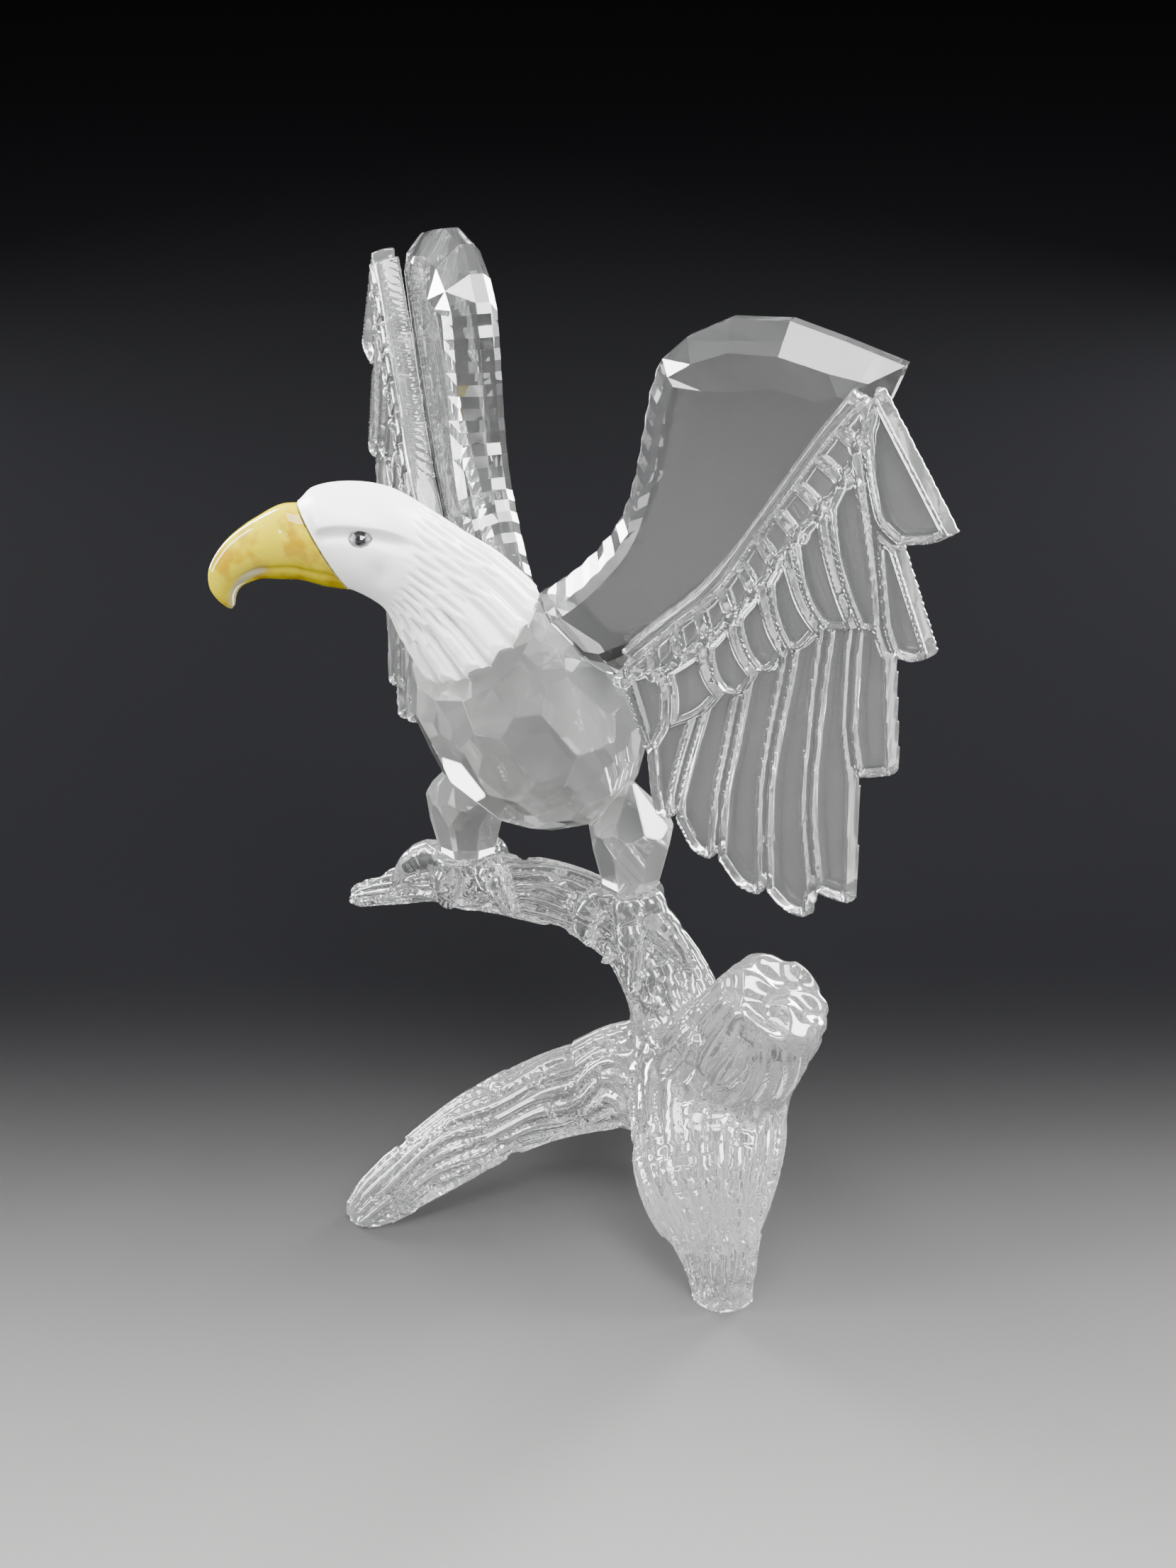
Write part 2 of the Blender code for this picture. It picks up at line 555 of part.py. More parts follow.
def centre_on_floor():
    """Move the whole figure so that the middle of its footprint is the origin."""
    scene_state = bpy.context.evaluated_depsgraph_get()
    corners = []
    for item in bpy.data.objects:
        if not item.hide_render:
            shape = item.evaluated_get(scene_state).to_mesh()
            corners.extend(item.matrix_world @ v.co for v in shape.vertices)
    corners = np.array(corners)
    low, high = corners.min(axis=0), corners.max(axis=0)
    shift = Vector((-0.5 * (low[0] + high[0]), -0.5 * (low[1] + high[1]), -low[2]))
    for item in bpy.data.objects:
        item.location += shift


def build():
    clear_scene()
    make_body("body")
    body_seat = as_cutter(make_body("body_seat", CLEARANCE))
    head = make_head("head")
    head_seat = as_cutter(make_head("head_seat", CLEARANCE))
    cut_by(head, body_seat)
    make_beak()
    for side, word in ((1, "left"), (-1, "right")):
        make_eye("eye_" + word, side)
        cut_by(head, as_cutter(make_eye("eye_socket_" + word, side, CLEARANCE)))
        plate = make_plate("wing_plate_" + word, side)
        cut_by(plate, body_seat)
        cut_by(plate, head_seat)
        make_vane("wing_feathers_" + word, side)
        thigh = make_thigh("thigh_" + word, word)
        cut_by(thigh, body_seat)
    cut_by(make_tail(), body_seat)
    branch = make_branch()
    for word in ("left", "right"):
        cut_by(branch, as_cutter(make_thigh("thigh_seat_" + word, word, CLEARANCE)))
    cut_by(branch, make_floor_cutter())
    bpy.context.view_layer.update()
    centre_on_floor()


build()
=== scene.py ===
"""Looks of the cut crystal eagle: polished stones, pressed feathers, cast bark and frosted head.

Lengths are millimetres while a piece is worked out, and metres once it is in its mesh. The
frame is the figure's own: floor at z = 0, the bird faces -Y and its left side is +X. The
free forms repeat the part's own sizes, which are laid out before the figure is centred.
"""
import math

import bmesh
import bpy
import numpy as np
import openvdb
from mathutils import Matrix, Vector


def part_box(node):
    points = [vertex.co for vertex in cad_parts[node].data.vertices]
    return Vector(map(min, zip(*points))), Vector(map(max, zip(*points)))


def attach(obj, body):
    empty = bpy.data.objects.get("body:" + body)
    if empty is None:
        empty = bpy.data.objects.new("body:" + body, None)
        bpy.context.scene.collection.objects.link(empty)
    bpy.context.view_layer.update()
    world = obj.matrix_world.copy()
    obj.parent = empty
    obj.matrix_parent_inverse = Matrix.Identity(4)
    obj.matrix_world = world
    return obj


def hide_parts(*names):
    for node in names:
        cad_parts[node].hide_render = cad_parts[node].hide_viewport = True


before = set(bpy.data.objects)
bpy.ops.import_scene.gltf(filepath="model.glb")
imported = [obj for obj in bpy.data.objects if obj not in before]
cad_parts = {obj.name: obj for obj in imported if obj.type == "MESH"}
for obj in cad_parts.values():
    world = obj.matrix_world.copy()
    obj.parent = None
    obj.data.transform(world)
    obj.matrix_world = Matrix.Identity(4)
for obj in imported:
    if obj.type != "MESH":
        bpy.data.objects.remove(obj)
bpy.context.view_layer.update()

MM = 0.001
CLEARANCE = 0.3            # glue gap between two pieces that touch
WELD = 1e-6                # a solid's corners nearer than this, in metres, are one corner
SLIVER = 2e-6              # the same for corners that a cut or a bevel has made
FACET_ANGLE = math.radians(0.8)     # faces that turn less than this are one facet
EDGE_ANGLE = math.radians(3)        # faces that turn more than this meet at an edge
STONE_EASE, PLATE_EASE = 0.07, 0.10     # width of the ground round on an edge
CURVE_STEPS = 24           # points worked out on each span of a smooth curve

# Camera: the photograph's place and aim
CAMERA_PLACE = (197.6, -163.0, 176.0)
CAMERA_PITCH = math.radians(26)
CAMERA_AZIMUTH = math.radians(48.3)
CAMERA_LENS = 53.7
CAMERA_SENSOR = 36.0

# Head: forward, up, half height, half width, tip of each section in degrees
HEAD_TURN = math.radians(35)
HEAD_CENTRE = (-5.6, -19.6, 0.0)
HEAD_SECTIONS = (
    (5.0, 84.4, 5.9, 4.7, 28.6), (3.8, 84.9, 6.2, 5.7, 20.0), (1.9, 84.9, 6.3, 6.4, 9.0),
    (-0.4, 84.4, 6.3, 6.9, -4.0), (-2.9, 83.2, 6.3, 7.2, -17.0), (-5.0, 81.4, 6.4, 7.5, -29.0),
    (-7.0, 79.3, 6.9, 8.0, -40.0), (-9.1, 77.1, 7.7, 8.9, -48.0), (-10.7, 75.2, 8.1, 9.6, -52.0),
    (-11.9, 73.6, 8.3, 10.0, -54.0), (-12.8, 72.5, 8.3, 10.0, -55.0))
BEAK_SECTIONS = (
    (5.0, 84.4, 5.8, 4.4, 28.6), (6.9, 84.6, 5.4, 4.0, 25.0), (9.0, 84.8, 4.5, 3.3, 20.0),
    (11.0, 84.5, 3.85, 2.8, 15.5), (12.8, 84.1, 3.3, 2.35, 13.0), (14.6, 83.1, 2.85, 2.0, 18.0),
    (15.8, 81.9, 2.45, 1.7, 29.0), (16.5, 80.5, 2.15, 1.4, 43.0), (16.6, 79.1, 1.7, 1.1, 56.0),
    (16.3, 78.2, 1.1, 0.8, 65.0), (15.9, 77.5, 0.35, 0.35, 78.0))
PALE_ARC_CENTRE = (11.4, 78.2, 4.3)     # middle and radius of the pale arc inside the hook
PALE_ARC_SPREAD = 0.5          # how softly the arc fades on both sides
MOUTH_DEPTH, NOSTRIL_DEPTH = 0.22, 0.35
NECK_LOBES = 14
GROOVE_DEPTH = 1.2         # furrow between two lobes of feathers
SPLIT_DEPTH = 0.32         # fine furrows within a lobe
STROKE_DEPTH = 0.6         # short strokes between the crown and the lobes
STROKE_ROWS = 5.2          # strokes in line along the whole head
BROW_RISE, BROW_FURROW = 0.75, 0.42
CHEEK_HOLLOW = 0.35
LOBE_REACH, RIM_TUCK = 1.5, 0.35    # how far a lobe's tip runs on, and how far the rim draws back
EYE_RADIUS = 1.3           # where the eye's ring of tones ends

# Wings: out along the wing and up, in the wing's own upright plane
WING_SWEEP = math.radians(24.5)
WING_OFFSET = 2.5
PLATE_THICKNESS = 6.3
PLATE_BACK_BEVEL, PLATE_EDGE, PLATE_STEP = 1.0, 1.7, 2.25
# Wing plate outline, from the shoulder up the leading edge, over the top and down the rear
PLATE_OUTLINE = (
    (1.6, 75.8), (5.8, 79.1), (9.5, 83.1), (11.8, 86.5), (13.4, 91.1), (14.4, 96.5), (15.4, 102.2),
    (16.6, 105.8), (19.6, 108.4), (24.5, 110.9), (31.3, 111.4), (37.4, 109.9), (44.2, 108.0),
    (42.3, 103.2), (39.6, 97.5), (35.6, 89.9), (30.5, 82.7), (24.4, 76.1), (17.7, 70.5),
    (11.9, 67.2), (7.7, 67.1), (1.6, 71.9))
# Leading edge: the outline's corners on it, the facets cut along it, and the nick at every other one
LEAD_CORNERS, LEAD_FACETS, LEAD_NICK = 8, 25, 0.19
# Front of the plate: how far in its slope ends, and then its flat table starts, edge by edge
LEAD_SLOPE, TOP_SLOPE, REAR_SLOPE = 2.0, (2.6, 3.0, 3.2, 3.0, 2.4), 2.5
LEAD_TABLE, TOP_TABLE, REAR_TABLE = 3.4, (5.6, 7.0, 6.4, 6.0, 4.6), 3.9
SHEET_PITCH = 0.235        # grain of the pressed sheet's relief
SHEET_LOW, SHEET_HIGH = (12.5, 41.5, -0.8), (54.0, 109.0, 5.4)
SHEET_ROUND = 0.7          # radius of a pressed form's outer edge
NO_SHEET = -9.0            # height where there is no sheet
# Pressed forms: height of the vane, of its rim above it, the rim's place in from the edge, its spread
LONG_FORM = (1.9, 1.15, 0.55, 0.42)
COVERT_FORM = (2.5, 1.0, 0.5, 0.42)
RUFFLE_FORM = (2.9, 0.9, 0.4, 0.3)
BAND_FORM = (2.7, 0.5, 0.9, 0.6)
WEB, WEB_HEIGHT = 1.0, 2.1    # the floor of the furrow between two feathers
# Ribs between the long feathers, from under the coverts to the notch
LONG_RIBS = (
    ((15.4, 69.5), (16.5, 64.9), (17.7, 61.4), (18.2, 57.0), (18.6, 54.6)),
    ((25.6, 72.5), (23.8, 65.3), (22.4, 59.7), (21.6, 55.4), (21.5, 53.2)),
    ((30.0, 76.0), (29.1, 69.6), (28.1, 63.3), (27.1, 56.8), (26.8, 49.2)),
    ((35.2, 80.0), (34.4, 73.3), (33.1, 64.8), (32.5, 57.2), (32.9, 46.2)),
    ((39.4, 84.0), (38.4, 74.9), (37.9, 66.4), (37.7, 57.6), (38.9, 47.1)),
    ((42.6, 88.0), (42.1, 80.2), (41.9, 74.0), (42.0, 68.3), (43.0, 62.4)),
    ((43.4, 94.0), (44.0, 88.5), (44.6, 84.0), (45.2, 80.5), (46.4, 77.5)),
    ((41.5, 102.5), (41.9, 99.5), (42.5, 96.4), (43.8, 92.4), (46.4, 90.2)),
    ((42.6, 106.9), (42.9, 106.8), (43.2, 106.7), (43.4, 106.5), (43.6, 106.3)))
# Each long feather's belly and tip
LONG_FEET = (
    ((19.2, 53.2), (20.8, 52.5)), ((23.7, 49.6), (26.2, 48.5)), ((29.5, 46.0), (32.4, 45.1)),
    ((35.6, 43.9), (38.4, 43.5)), ((41.1, 46.7), (43.5, 46.4)), ((45.1, 62.8), (47.5, 63.5)),
    ((49.0, 77.3), (51.0, 78.3)), ((50.0, 90.9), (52.3, 92.2)))
COVERT_RIBS = (
    ((14.8, 71.8), (15.2, 68.7), (16.5, 64.9), (17.6, 61.8)),
    ((19.9, 71.8), (20.6, 69.5), (20.7, 67.0), (20.5, 64.2)),
    ((25.1, 76.0), (25.2, 73.6), (26.0, 71.6), (27.4, 70.0)),
    ((28.2, 80.0), (28.8, 77.2), (29.8, 75.0), (31.4, 73.2)),
    ((31.6, 84.4), (32.3, 81.4), (33.2, 78.8), (34.6, 76.5)),
    ((34.1, 89.6), (35.2, 85.6), (36.6, 82.2), (38.6, 79.6)),
    ((38.1, 93.9), (39.0, 89.4), (40.6, 84.6), (42.6, 80.2)),
    ((41.4, 101.7), (42.7, 95.2), (44.2, 87.5), (45.0, 81.3)))
COVERT_TIPS = ((18.7, 61.0), (25.0, 67.0), (29.7, 70.2), (33.3, 73.9), (36.6, 77.0), (40.9, 79.9),
               (44.4, 80.3))
# Ruffle: the band's top and foot along the plate, the cells' lower edge, their scallops and beads
BAND_TOP = ((14.3, 72.9), (18.5, 77.2), (23.0, 81.5), (27.8, 87.6), (32.1, 94.5), (36.2, 101.0),
            (40.0, 106.3))
BAND_FOOT = ((15.8, 72.2), (21.4, 77.6), (26.6, 82.8), (30.6, 89.6), (34.2, 95.0), (37.9, 100.8),
             (41.6, 105.6))
RUFFLE_EDGE = ((15.0, 69.9), (19.9, 71.8), (22.4, 74.1), (25.6, 77.0), (29.1, 80.8), (31.8, 84.8),
               (34.4, 89.0), (37.2, 92.8), (40.0, 96.8), (41.4, 100.6), (42.4, 105.2))
RUFFLE_CELLS = 11
RUFFLE_SCALLOP, RUFFLE_OVERLAP, RUFFLE_BEAD = 0.9, 0.2, 0.9

# Tail fan
TAIL_ROOT = (0.0, 6.5, 51.0)
TAIL_LENGTH, TAIL_ROOT_WIDTH, TAIL_TIP_WIDTH = 20.0, 7.0, 12.0
TAIL_THICKNESS, TAIL_SWING, TAIL_FEATHERS = 2.6, math.radians(40), 5

# Branch: limbs as points along the middle with a radius, in the layout's own place
BRANCH_LOW, BRANCH_HIGH = (-30.0, -35.0, -1.2), (50.0, 29.0, 44.0)
PERCH = ((-26.0, -8.6, 26.6, 1.9), (-19.6, -6.2, 29.8, 2.8), (-14.0, -4.2, 32.2, 3.5),
         (-8.0, -2.1, 33.6, 3.9), (-2.0, 0.2, 34.3, 4.2), (3.8, 2.4, 34.2, 4.4), (9.6, 4.6, 32.6, 4.8),
         (15.0, 6.0, 29.0, 5.4), (19.0, 6.2, 23.6, 6.1), (22.0, 5.4, 18.0, 7.0), (24.5, 3.8, 13.5, 7.6))
STUMP = ((21.8, 3.8, 10.5, 4.8), (25.0, 3.0, 14.5, 7.6), (30.5, 3.2, 21.5, 8.8),
         (34.0, 3.3, 27.0, 8.3), (37.0, 3.3, 32.0, 7.4), (39.6, 3.3, 36.2, 6.9))
FRONT_ROOT = ((20.5, 5.0, 14.6, 5.4), (25.4, 3.4, 16.2, 8.0), (30.0, 1.2, 16.5, 9.7),
              (33.2, -1.8, 14.3, 9.7), (36.2, -4.6, 11.3, 8.3), (38.8, -6.2, 8.0, 6.0),
              (40.9, -7.0, 3.6, 4.6), (42.0, -7.2, -1.2, 3.8))
LEFT_ROOT = ((22.0, 4.0, 15.0, 7.2), (15.3, 3.0, 13.6, 7.0), (10.8, 0.0, 11.2, 6.3),
             (7.3, -5.1, 9.6, 5.7), (5.0, -12.7, 7.9, 5.2), (3.6, -20.5, 5.4, 4.6),
             (2.1, -27.0, 2.2, 3.7), (1.6, -29.2, 1.0, 3.0))
BACK_ROOT = ((22.0, 5.0, 15.0, 7.2), (13.0, 10.0, 11.5, 5.6), (5.5, 16.5, 7.0, 4.4),
             (0.0, 21.8, 2.6, 3.7), (-1.8, 23.6, 0.8, 3.1))
LIMBS = (PERCH, STUMP, FRONT_ROOT, LEFT_ROOT, BACK_ROOT)
THIGH_FEET = {"left": (12.0, 4.9, 39.4), "right": (-9.8, -3.1, 38.2)}
THIGH_SEAT = 5.2           # radius of the flat seat under a thigh
ANKLE = ((-5.5, 3.0), (-3.0, 3.8), (-1.0, 3.9), (0.6, 3.6))     # height over the thigh's foot, radius
TOE_RADIUS = 1.75
TOE_TAPER = (1.25, 1.1, 1.0, 0.62, 0.25)
TOE_SCALES, SCALE_DEPTH = 10, 0.30
TOE_KNUCKLES, KNUCKLE_RISE = 4, 0.08
# Each toe's joints, out from the thigh's foot
TOES = {
    "left": (((2.6, -2.9, -1.6), (4.6, -5.2, -4.6), (5.4, -5.9, -8.0), (5.2, -5.6, -11.6)),
             ((4.0, 0.2, -1.8), (6.8, 0.7, -4.4), (8.2, 1.2, -7.4), (8.4, 1.4, -9.6)),
             ((-1.0, -3.8, -0.9), (-1.6, -6.6, -2.8), (-1.7, -7.8, -5.8), (-1.5, -7.6, -8.6)),
             ((-1.4, 3.4, -1.8), (-1.8, 5.4, -4.4), (-1.6, 6.2, -7.0), (-1.4, 6.2, -9.4))),
    "right": (((-3.6, -1.8, -1.6), (-6.6, -3.0, -3.0), (-8.4, -3.9, -4.6), (-9.4, -5.2, -6.8)),
              ((0.5, -3.2, -0.9), (0.9, -5.2, -3.2), (0.9, -6.0, -6.4), (0.7, -5.6, -9.2)),
              ((4.0, -1.0, -0.3), (7.2, -2.0, -1.6), (9.2, -2.7, -4.2), (9.9, -2.8, -7.2)),
              ((-0.5, 3.6, -1.2), (-0.8, 5.4, -3.6), (-0.9, 5.8, -6.4), (-0.9, 5.6, -8.6)))}
# Small beads beside the toes, laid on the perch's bark
BEADS = {
    "left": ((7.6, -2.0, 36.5), (14.6, -0.8, 34.5), (18.4, -0.5, 30.0), (20.0, 0.4, 27.0),
             (22.4, 7.0, 32.0), (12.8, -2.0, 30.2), (17.0, 1.0, 36.0)),
    "right": ((-14.6, -6.5, 38.0), (-12.8, -8.2, 34.8), (-5.2, -5.6, 37.6), (-17.2, -7.4, 36.0))}
BEAD_RADIUS = 0.95
# How far two forms melt into each other where they meet
LIMB_BLEND, STUMP_BLEND, ANKLE_BLEND, TOE_BLEND, BEAD_BLEND = 2.2, 2.4, 0.9, 0.7, 0.3
BRANCH_PITCH = 0.315       # grain of the cast branch's surface
BARK_DEPTH = 1.15
BARE_SINK = 0.6            # share of the bark's depth that a face without bark is lowered
# Width and length of the drops of bark, limb by limb
BARK_DROPS = ((2.5, 17.0), (2.6, 12.0), (2.4, 8.5), (2.1, 13.0), (2.2, 12.0))
BARK_SEAM = 0.3            # how far two limbs' bark runs into each other
STUMP_DIMPLE, STUMP_DIMPLE_DEPTH = 6.1, 0.35    # width and depth of the dimples on its face

# Floor, in metres: a painted pool of light, pale within one reach, with painted shade down to near black
# from the other, both round the figure and toward the side the camera looks from
FLOOR_RADIUS = 2.2
FLOOR_PAINTED_POOL_RADIUS, FLOOR_PAINTED_SHADE_RADIUS = 0.16, 0.60
FLOOR_PAINTED_LIT_FRONT, FLOOR_PAINTED_SHADE_BACK = 0.17, -0.05
FLOOR_PAINTED_SHADE_TONE, FLOOR_PALE_TONE = (0.004, 0.004, 0.0045), (0.20, 0.196, 0.194)

# Studio, in metres: each soft light's place, width and height, and power
LIGHT_AIM = (0.0, 0.0, 0.06)
LIGHTS = {
    "top_light": ((0.06, -0.08, 0.58), (0.34, 0.34), 9.5),
    "front_light": ((0.42, -0.10, 0.40), (0.16, 0.16), 4.0),
    "back_right_strip": ((-0.04, 0.42, 0.20), (0.10, 0.42), 9.5),
    "back_left_strip": ((-0.42, -0.04, 0.20), (0.10, 0.42), 9.5),
    "right_strip": ((0.30, 0.36, 0.24), (0.10, 0.42), 6.0),
    "left_strip": ((-0.26, -0.38, 0.24), (0.10, 0.42), 6.0)}
PANELS = 9                 # soft panels hung round the studio, with dim gaps between them
PANEL_START, PANEL_FULL, PANEL_GAP = 0.50, 0.56, 0.10
DOME_LOW, DOME_HIGH, DOME_POWER = 0.18, 0.60, 1.3

# The layout is moved so that the left thigh's foot comes where the solid has it
thigh_low, thigh_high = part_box("thigh_left")
thigh_foot = np.array([(thigh_low.x + thigh_high.x) / 2, (thigh_low.y + thigh_high.y) / 2, thigh_low.z])
LAYOUT_SHIFT = thigh_foot / MM - THIGH_FEET["left"]


# Curves, distances and fields

def smooth_curve(points, count):
    """Points evenly spread along a curve whose spans are cubics that pass through each given point.

    A span runs from b to c, and starts along c - a and ends along d - b, its two neighbours.
    """
    p = np.asarray(points, float)
    p = np.vstack([2 * p[0] - p[1], p, 2 * p[-1] - p[-2]])
    t = np.linspace(0, 1, CURVE_STEPS, endpoint=False)[:, None]
    spans = [0.5 * (2 * b + (c - a) * t + (2 * a - 5 * b + 4 * c - d) * t ** 2
                    + (3 * b - a - 3 * c + d) * t ** 3)
             for a, b, c, d in zip(p, p[1:], p[2:], p[3:])]
    fine = np.vstack(spans + [p[-2:-1]])
    place = fine[:, :3]
    walked = np.concatenate([[0], np.cumsum(np.linalg.norm(np.diff(place, axis=0), axis=1))])
    at = np.linspace(0, walked[-1], count)
    return np.column_stack([np.interp(at, walked, fine[:, k]) for k in range(p.shape[1])])


def steady(low, high, value):
    """Smooth step: 0 up to low, 1 from high, and 3t^2 - 2t^3 between them."""
    t = np.clip((value - low) / (high - low), 0, 1)
    return t * t * (3 - 2 * t)


def scatter(cell, seed):
    """A steady scattered number from 0 to 1 for each whole number, the tail of a large sine."""
    return np.modf(np.abs(np.sin(cell * 12.9898 + seed * 78.233)) * 43758.5453)[0]


def melt(a, b, width):
    """Smaller of two distances, rounded by a parabola where they differ by less than the width."""
    mix = np.clip(1 - np.abs(a - b) / width, 0, None)
    return np.minimum(a, b) - 0.25 * width * mix * mix


def tube_distance(points, path):
    """Distance to a chain of round cones, with the distance walked along it and the nearest axis."""
    best = np.full(len(points), 1e9)
    along = np.zeros(len(points))
    walked = 0.0
    for a, b in zip(path, path[1:]):
        reach = b[:3] - a[:3]
        length = np.linalg.norm(reach)
        t = np.clip((points - a[:3]) @ reach / length ** 2, 0, 1)
        gap = np.linalg.norm(points - a[:3] - t[:, None] * reach, axis=1) - (a[3] + t * (b[3] - a[3]))
        nearer = gap < best
        best = np.where(nearer, gap, best)
        along = np.where(nearer, walked + t * length, along)
        walked += length
    return best, along


def inside_distance(points, outline):
    """Distance to a closed outline, positive inside it, by the count of edges crossed."""
    best = np.full(len(points), 1e9)
    crossed = np.zeros(len(points), bool)
    for a, b in zip(outline, np.roll(outline, -1, axis=0)):
        reach = b - a
        t = np.clip((points - a) @ reach / max(reach @ reach, 1e-12), 0, 1)
        best = np.minimum(best, np.linalg.norm(points - a - t[:, None] * reach, axis=1))
        if a[1] != b[1]:
            level = (a[1] > points[:, 1]) != (b[1] > points[:, 1])
            edge = (b[0] - a[0]) * (points[:, 1] - a[1]) / (b[1] - a[1]) + a[0]
            crossed ^= level & (points[:, 0] < edge)
    return np.where(crossed, best, -best)


def field_surface(field, low, pitch):
    """Vertices and faces where a gridded field changes sign, from outside above to inside below."""
    grid = openvdb.FloatGrid(background=float(field.max()))
    grid.copyFromArray(np.ascontiguousarray(field, dtype=np.float32))
    points, corners = grid.convertToQuads(isovalue=0.0)
    return points * pitch + low, corners[:, ::-1]


# Meshes and finishes

def add_piece(name, points, faces, look, smooth_angle=40):
    """A mesh piece in metres at the origin, from millimetres, with its faces turned outward.

    Faces are turned to agree with each other, and all of them again if the volume comes out negative.
    """
    mesh = bpy.data.meshes.new(name)
    mesh.from_pydata((np.asarray(points) * MM).tolist(), [], faces)
    work = bmesh.new()
    work.from_mesh(mesh)
    bmesh.ops.recalc_face_normals(work, faces=work.faces)
    if work.calc_volume(signed=True) < 0:
        bmesh.ops.reverse_faces(work, faces=work.faces)
    work.to_mesh(mesh)
    work.free()
    mesh.shade_smooth()
    mesh.set_sharp_from_angle(angle=math.radians(smooth_angle))
    item = bpy.data.objects.new(name, mesh)
    bpy.context.scene.collection.objects.link(item)
    mesh.materials.append(look)
    return item


def seat(item, slot, *nodes):
    """The piece rides on the figure and stands for its solid nodes."""
    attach(item, "root")
    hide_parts(*nodes)


def skin_faces(rows, around):
    """Quads over a grid closed round its columns, and one flat face at each end."""
    i, j = np.meshgrid(np.arange(rows - 1), np.arange(around), indexing="ij")
    k = (j + 1) % around
    quads = np.stack([i * around + j, i * around + k, (i + 1) * around + k, (i + 1) * around + j], -1)
    ends = [list(range(around - 1, -1, -1)), list(range((rows - 1) * around, rows * around))]
    return quads.reshape(-1, 4).tolist() + ends


def centred(points):
    """From the layout's own place to the figure's, whose footprint is centred on the origin."""
    return np.asarray(points) + LAYOUT_SHIFT


def turned(points, place, angle):
    """Points turned about the upright axis, then moved."""
    c, s = math.cos(angle), math.sin(angle)
    x, y, z = np.moveaxis(np.asarray(points, float), -1, 0)
    return np.stack([c * x - s * y, s * x + c * y, z], -1) + place


def node_maker(tree):
    """A short way to add a node and set its plain values, with _ for a space in an input's name."""
    def add(kind, **values):
        node = tree.nodes.new(kind)
        for key, value in values.items():
            if key.replace("_", " ") in node.inputs:
                node.inputs[key.replace("_", " ")].default_value = value
            else:
                setattr(node, key, value)
        return node
    return add


def crystal(name, colour, roughness, bump=0.0, bump_size=400.0, smudge=0.012, ior=1.56,
            transmission=1.0, gloss=0.5, facet_shade_tone=None):
    """Stone, see-through by plain values, whose roughness grows by the smudge where a noise is high.

    A bump adds low waves of a finer noise. With a facet shade tone, each facet is painted its own shade
    between that tone and the stone's colour, by the painted_facet_shade attribute: painted shading that
    stands in for the light that refraction and reflection give each facet.
    """
    made = bpy.data.materials.new(name)
    made.use_nodes = True
    tree = made.node_tree
    add = node_maker(tree)
    shader = tree.nodes["Principled BSDF"]
    shader.inputs["Base Color"].default_value = (*colour, 1.0)
    shader.inputs["IOR"].default_value = ior
    shader.inputs["Transmission Weight"].default_value = transmission
    shader.inputs["Specular IOR Level"].default_value = gloss
    place = add("ShaderNodeTexCoord")
    smear = add("ShaderNodeTexNoise", Scale=260.0, Detail=4.0, Roughness=0.6)
    tree.links.new(place.outputs["Object"], smear.inputs["Vector"])
    polish = add("ShaderNodeMapRange", From_Min=0.45, From_Max=0.75, To_Min=roughness,
                 To_Max=roughness + smudge)
    tree.links.new(smear.outputs["Fac"], polish.inputs["Value"])
    tree.links.new(polish.outputs["Result"], shader.inputs["Roughness"])
    if bump:
        waves = add("ShaderNodeTexNoise", Scale=bump_size, Detail=2.0)
        tree.links.new(place.outputs["Object"], waves.inputs["Vector"])
        lift = add("ShaderNodeBump", Strength=bump, Distance=0.0002)
        tree.links.new(waves.outputs["Fac"], lift.inputs["Height"])
        tree.links.new(lift.outputs["Normal"], shader.inputs["Normal"])
    # Painted facet shading: each facet's base colour lies between the shade tone and the stone's colour,
    # by a scattered share
    if facet_shade_tone:
        painted_facet_shade = add("ShaderNodeAttribute", attribute_name="painted_facet_shade")
        tone = add("ShaderNodeMix", data_type="RGBA")
        tone.inputs[6].default_value = (*facet_shade_tone, 1.0)
        tone.inputs[7].default_value = (*colour, 1.0)
        tree.links.new(painted_facet_shade.outputs["Fac"], tone.inputs["Factor"])
        tree.links.new(tone.outputs[2], shader.inputs["Base Color"])
    return made


def eye_finish(name, centre):
    """A black bead whose rim turns to a pale ring, by the distance from its own middle."""
    made = crystal(name, (0.02, 0.02, 0.02), 0.06, smudge=0.02, transmission=0.0)
    tree = made.node_tree
    add = node_maker(tree)
    place = add("ShaderNodeTexCoord")
    middle = add("ShaderNodeMapping", Location=tuple(-c for c in centre))
    away = add("ShaderNodeVectorMath", operation="LENGTH")
    tree.links.new(place.outputs["Object"], middle.inputs["Vector"])
    tree.links.new(middle.outputs["Vector"], away.inputs[0])
    tone = add("ShaderNodeValToRGB")
    reach = add("ShaderNodeMapRange", From_Max=EYE_RADIUS * MM)
    tree.links.new(away.outputs["Value"], reach.inputs["Value"])
    tree.links.new(reach.outputs["Result"], tone.inputs["Fac"])
    stops = tone.color_ramp.elements
    stops[0].position, stops[0].color = 0.66, (0.012, 0.012, 0.014, 1)
    stops[1].position, stops[1].color = 0.80, (0.42, 0.43, 0.42, 1)
    tree.links.new(tone.outputs["Color"], tree.nodes["Principled BSDF"].inputs["Base Color"])
    return made


